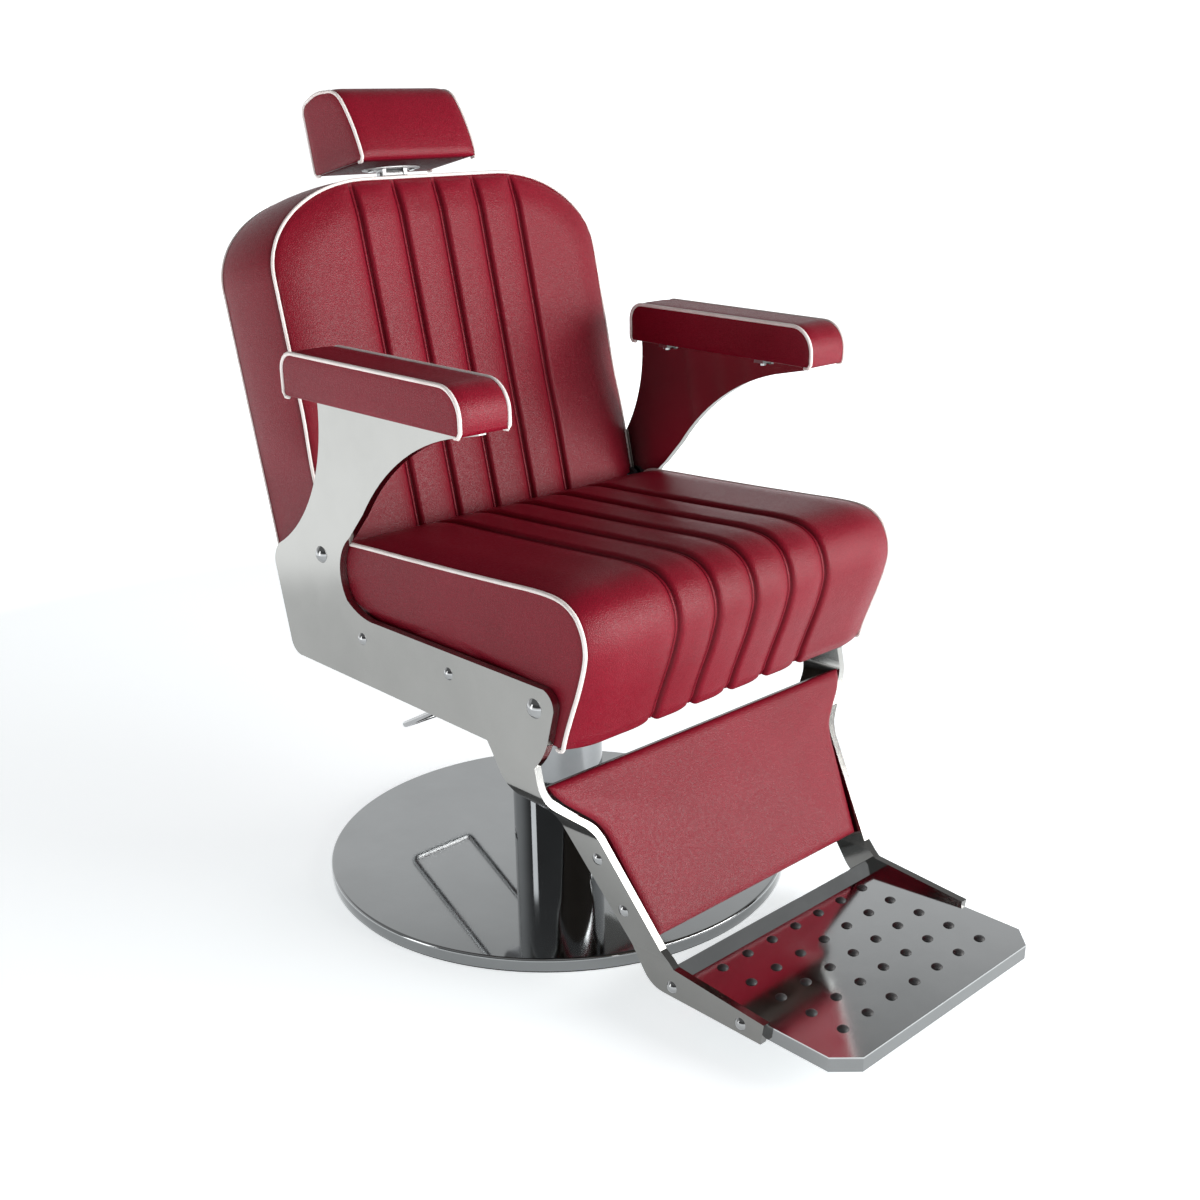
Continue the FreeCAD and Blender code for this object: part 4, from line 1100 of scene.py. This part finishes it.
def make_headrest():
    line = outline_points([
        (0.126, 0.4725),
        (0.126, 0.547),
        ("arc", (0.122, 0.558), (0.111, 0.563)),
        ("arc", (0.090, 0.567), (0.067, 0.565)),
        ("arc", (0.049, 0.560), (0.037, 0.547)),
        ("arc", (0.023, 0.513), (0.015, 0.4725)),
    ], 0.004)
    recess = outline_points([(0.0315, 0.4725), (0.0315, 0.485), (0.1125, 0.485), (0.1125, 0.4725)], 0.02)
    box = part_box("headrest_pad")
    centre = leaned(0.0, 0.070, 0.515)
    wrapped_pad("headrest", line, recess, box, HEADREST_BOARD_HALF, leaned, "headrest", "headrest_pad",
                crown=0.0040, side_crown=0.0028, centre=centre, pipe=0.0022)
    make_headrest_underside()


# ------------------------------------------------------------------ leg pad
def make_leg_pad():
    top = np.array([0, -0.286, 0.293])
    bottom = np.array([0, -0.389, 0.105])
    down = bottom - top
    length = np.linalg.norm(down)
    down /= length
    behind = np.array([0, -down[2], down[1]])
    lean = 0.547
    stations = [0, 0.0125, 0.026, 0.054, 0.061, 0.069, 0.078, 0.087, length]
    widths = [0.267, 0.2635, 0.254, 0.2245, 0.218, 0.2135, 0.210, 0.2078, 0.1894]
    t = 0.5 - 0.5 * np.cos(np.linspace(0, math.pi, 74))
    s = t * length
    half = np.interp(s, stations, widths)
    half[1:-1] = (half[:-2] + 2 * half[1:-1] + half[2:]) / 4
    across = np.sin(np.linspace(-math.pi / 2, math.pi / 2, 96))
    x = half[:, None] * across[None, :] * 0.9965
    side_gap = half[:, None] - np.abs(x)
    end_gap = np.minimum(s, length - s)[:, None] + 0 * x
    gap = np.minimum(side_gap * 0.9, end_gap)
    swell = 0.0055 * round_up(gap, 0.012) + 0.0030 * smoothstep(gap, 0.005, 0.09)
    lift = 0.0045 - swell
    grid = top + x[..., None] * np.array([1, 0, 0]) + s[:, None, None] * down + lift[..., None] * behind
    loop = perimeter(*x.shape)
    border = (top + x[..., None] * np.array([1, 0, 0]) + s[:, None, None] * down).reshape(-1, 3)[loop]
    border_s = (s[:, None] + 0 * x).reshape(-1)[loop]
    rings = []
    # painted shade: the rings round the pad's edge take some crease shade
    for n, dark in ((0.0060, 0.35), (0.0100, 0.2), (0.0150, 0.1), (0.0188, 0.2)):
        ring = border + behind * n
        ring[:, 0] *= np.interp(border_s + lean * n, s, half) / np.interp(border_s, s, half)
        rings.append((ring, dark))
    # painted shade: a dark line along the pad's border
    crease = 0.3 * np.exp(-(gap / 0.002) ** 2)
    pad = panel_skin("leg_pad_skin", grid, rings, crease, "seat")
    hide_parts("leg_pad")


# ------------------------------------------------------------------ disc and pedal
ROD_RADIUS = 0.005
CLAMP_RADIUS = 0.012


def turned(name, line, material, body, sides=320):
    """A solid of revolution about Z from a line of radius and height that starts and ends on the axis."""
    angles = np.linspace(0, 2 * math.pi, sides, endpoint=False)
    points = [(0, 0, line[0][1])]
    for radius, z in line[1:-1]:
        points += [(radius * math.cos(a), radius * math.sin(a), z) for a in angles]
    points.append((0, 0, line[-1][1]))
    faces = []
    last = len(points) - 1
    rings = len(line) - 2
    for j in range(sides):
        i = (j + 1) % sides
        faces.append((0, 1 + i, 1 + j))
        for k in range(rings - 1):
            a = 1 + k * sides
            b = a + sides
            faces.append((a + j, a + i, b + i, b + j))
        a = 1 + (rings - 1) * sides
        faces.append((a + j, a + i, last))
    piece = make_object(name, points, faces, material, body)
    outward(piece)
    return piece


def make_disc():
    """The base disc with a polished, rounded top edge."""
    radius, low, high, edge = 0.325, 0.003, 0.0205, 0.0035
    angles = np.linspace(0, math.pi / 2, 9)
    rounded = [(radius - edge + edge * math.cos(a), high - edge + edge * math.sin(a)) for a in angles]
    flat = [(r, high) for r in (radius - edge - 0.0006, 0.315, 0.25, 0.12, 0.02)]
    line = [(0, low), (0.2, low), (radius - 0.0012, low), (radius - 0.0004, low + 0.0003)]
    line += [(radius, low + 0.0012), (radius, 0.012)] + rounded + flat + [(0, high)]
    disc = turned("disc_turned", line, DISC, "base")
    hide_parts("base_disc")


def make_pedal():
    """The pedal: one bent rod with a clamp at each end."""
    near = np.array([0.057, 0.076, 0.252])
    far = np.array([0.057, 0.284, 0.135])
    way = (far - near) / np.linalg.norm(far - near)
    bend = 0.009
    path = [near + way * d for d in np.linspace(0.009, np.linalg.norm(far - near) - bend, 12)]
    centre = far - way * bend - np.array([bend, 0, 0])
    for a in np.linspace(0, math.pi / 2, 9)[1:]:
        path.append(centre + bend * (math.cos(a) * np.array([1, 0, 0]) + math.sin(a) * way))
    path = np.array(path)
    other = path[::-1] * np.array([-1, 1, 1])
    middle = np.linspace(path[-1], other[0], 8)[1:-1]
    whole = np.vstack([path, middle, other])
    rod = tube("pedal_bent_rod", whole, ROD_RADIUS, ROD, "pedal", sides=28)
    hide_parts("pedal_rod")
    for name, x in (("right", -near[0]), ("left", near[0])):
        clamp = [(x + d, near[1], near[2]) for d in (-0.0055, -0.002, 0.002, 0.0055)]
        tube("pedal_clamp_" + name, clamp, CLAMP_RADIUS, ROD, "pedal", sides=40)


make_camera()
make_world()
make_floor()
area_light("key", (1.66, -3.16, 1.30), (0, 0, 0.75), size=(2.6, 1.8), power=158, colour=(1.0, 0.985, 0.97))
area_light("strip", (-3.10, 1.05, 0.85), (0, 0, 0.45), size=(0.8, 2.0), power=14, colour=(1, 1, 1))
dress_cad_nodes()
make_back()
make_back_rear()
make_seat()
make_armrests()
make_headrest()
make_leg_pad()
make_disc()
make_pedal()
SCENE.view_settings.view_transform = "Standard"
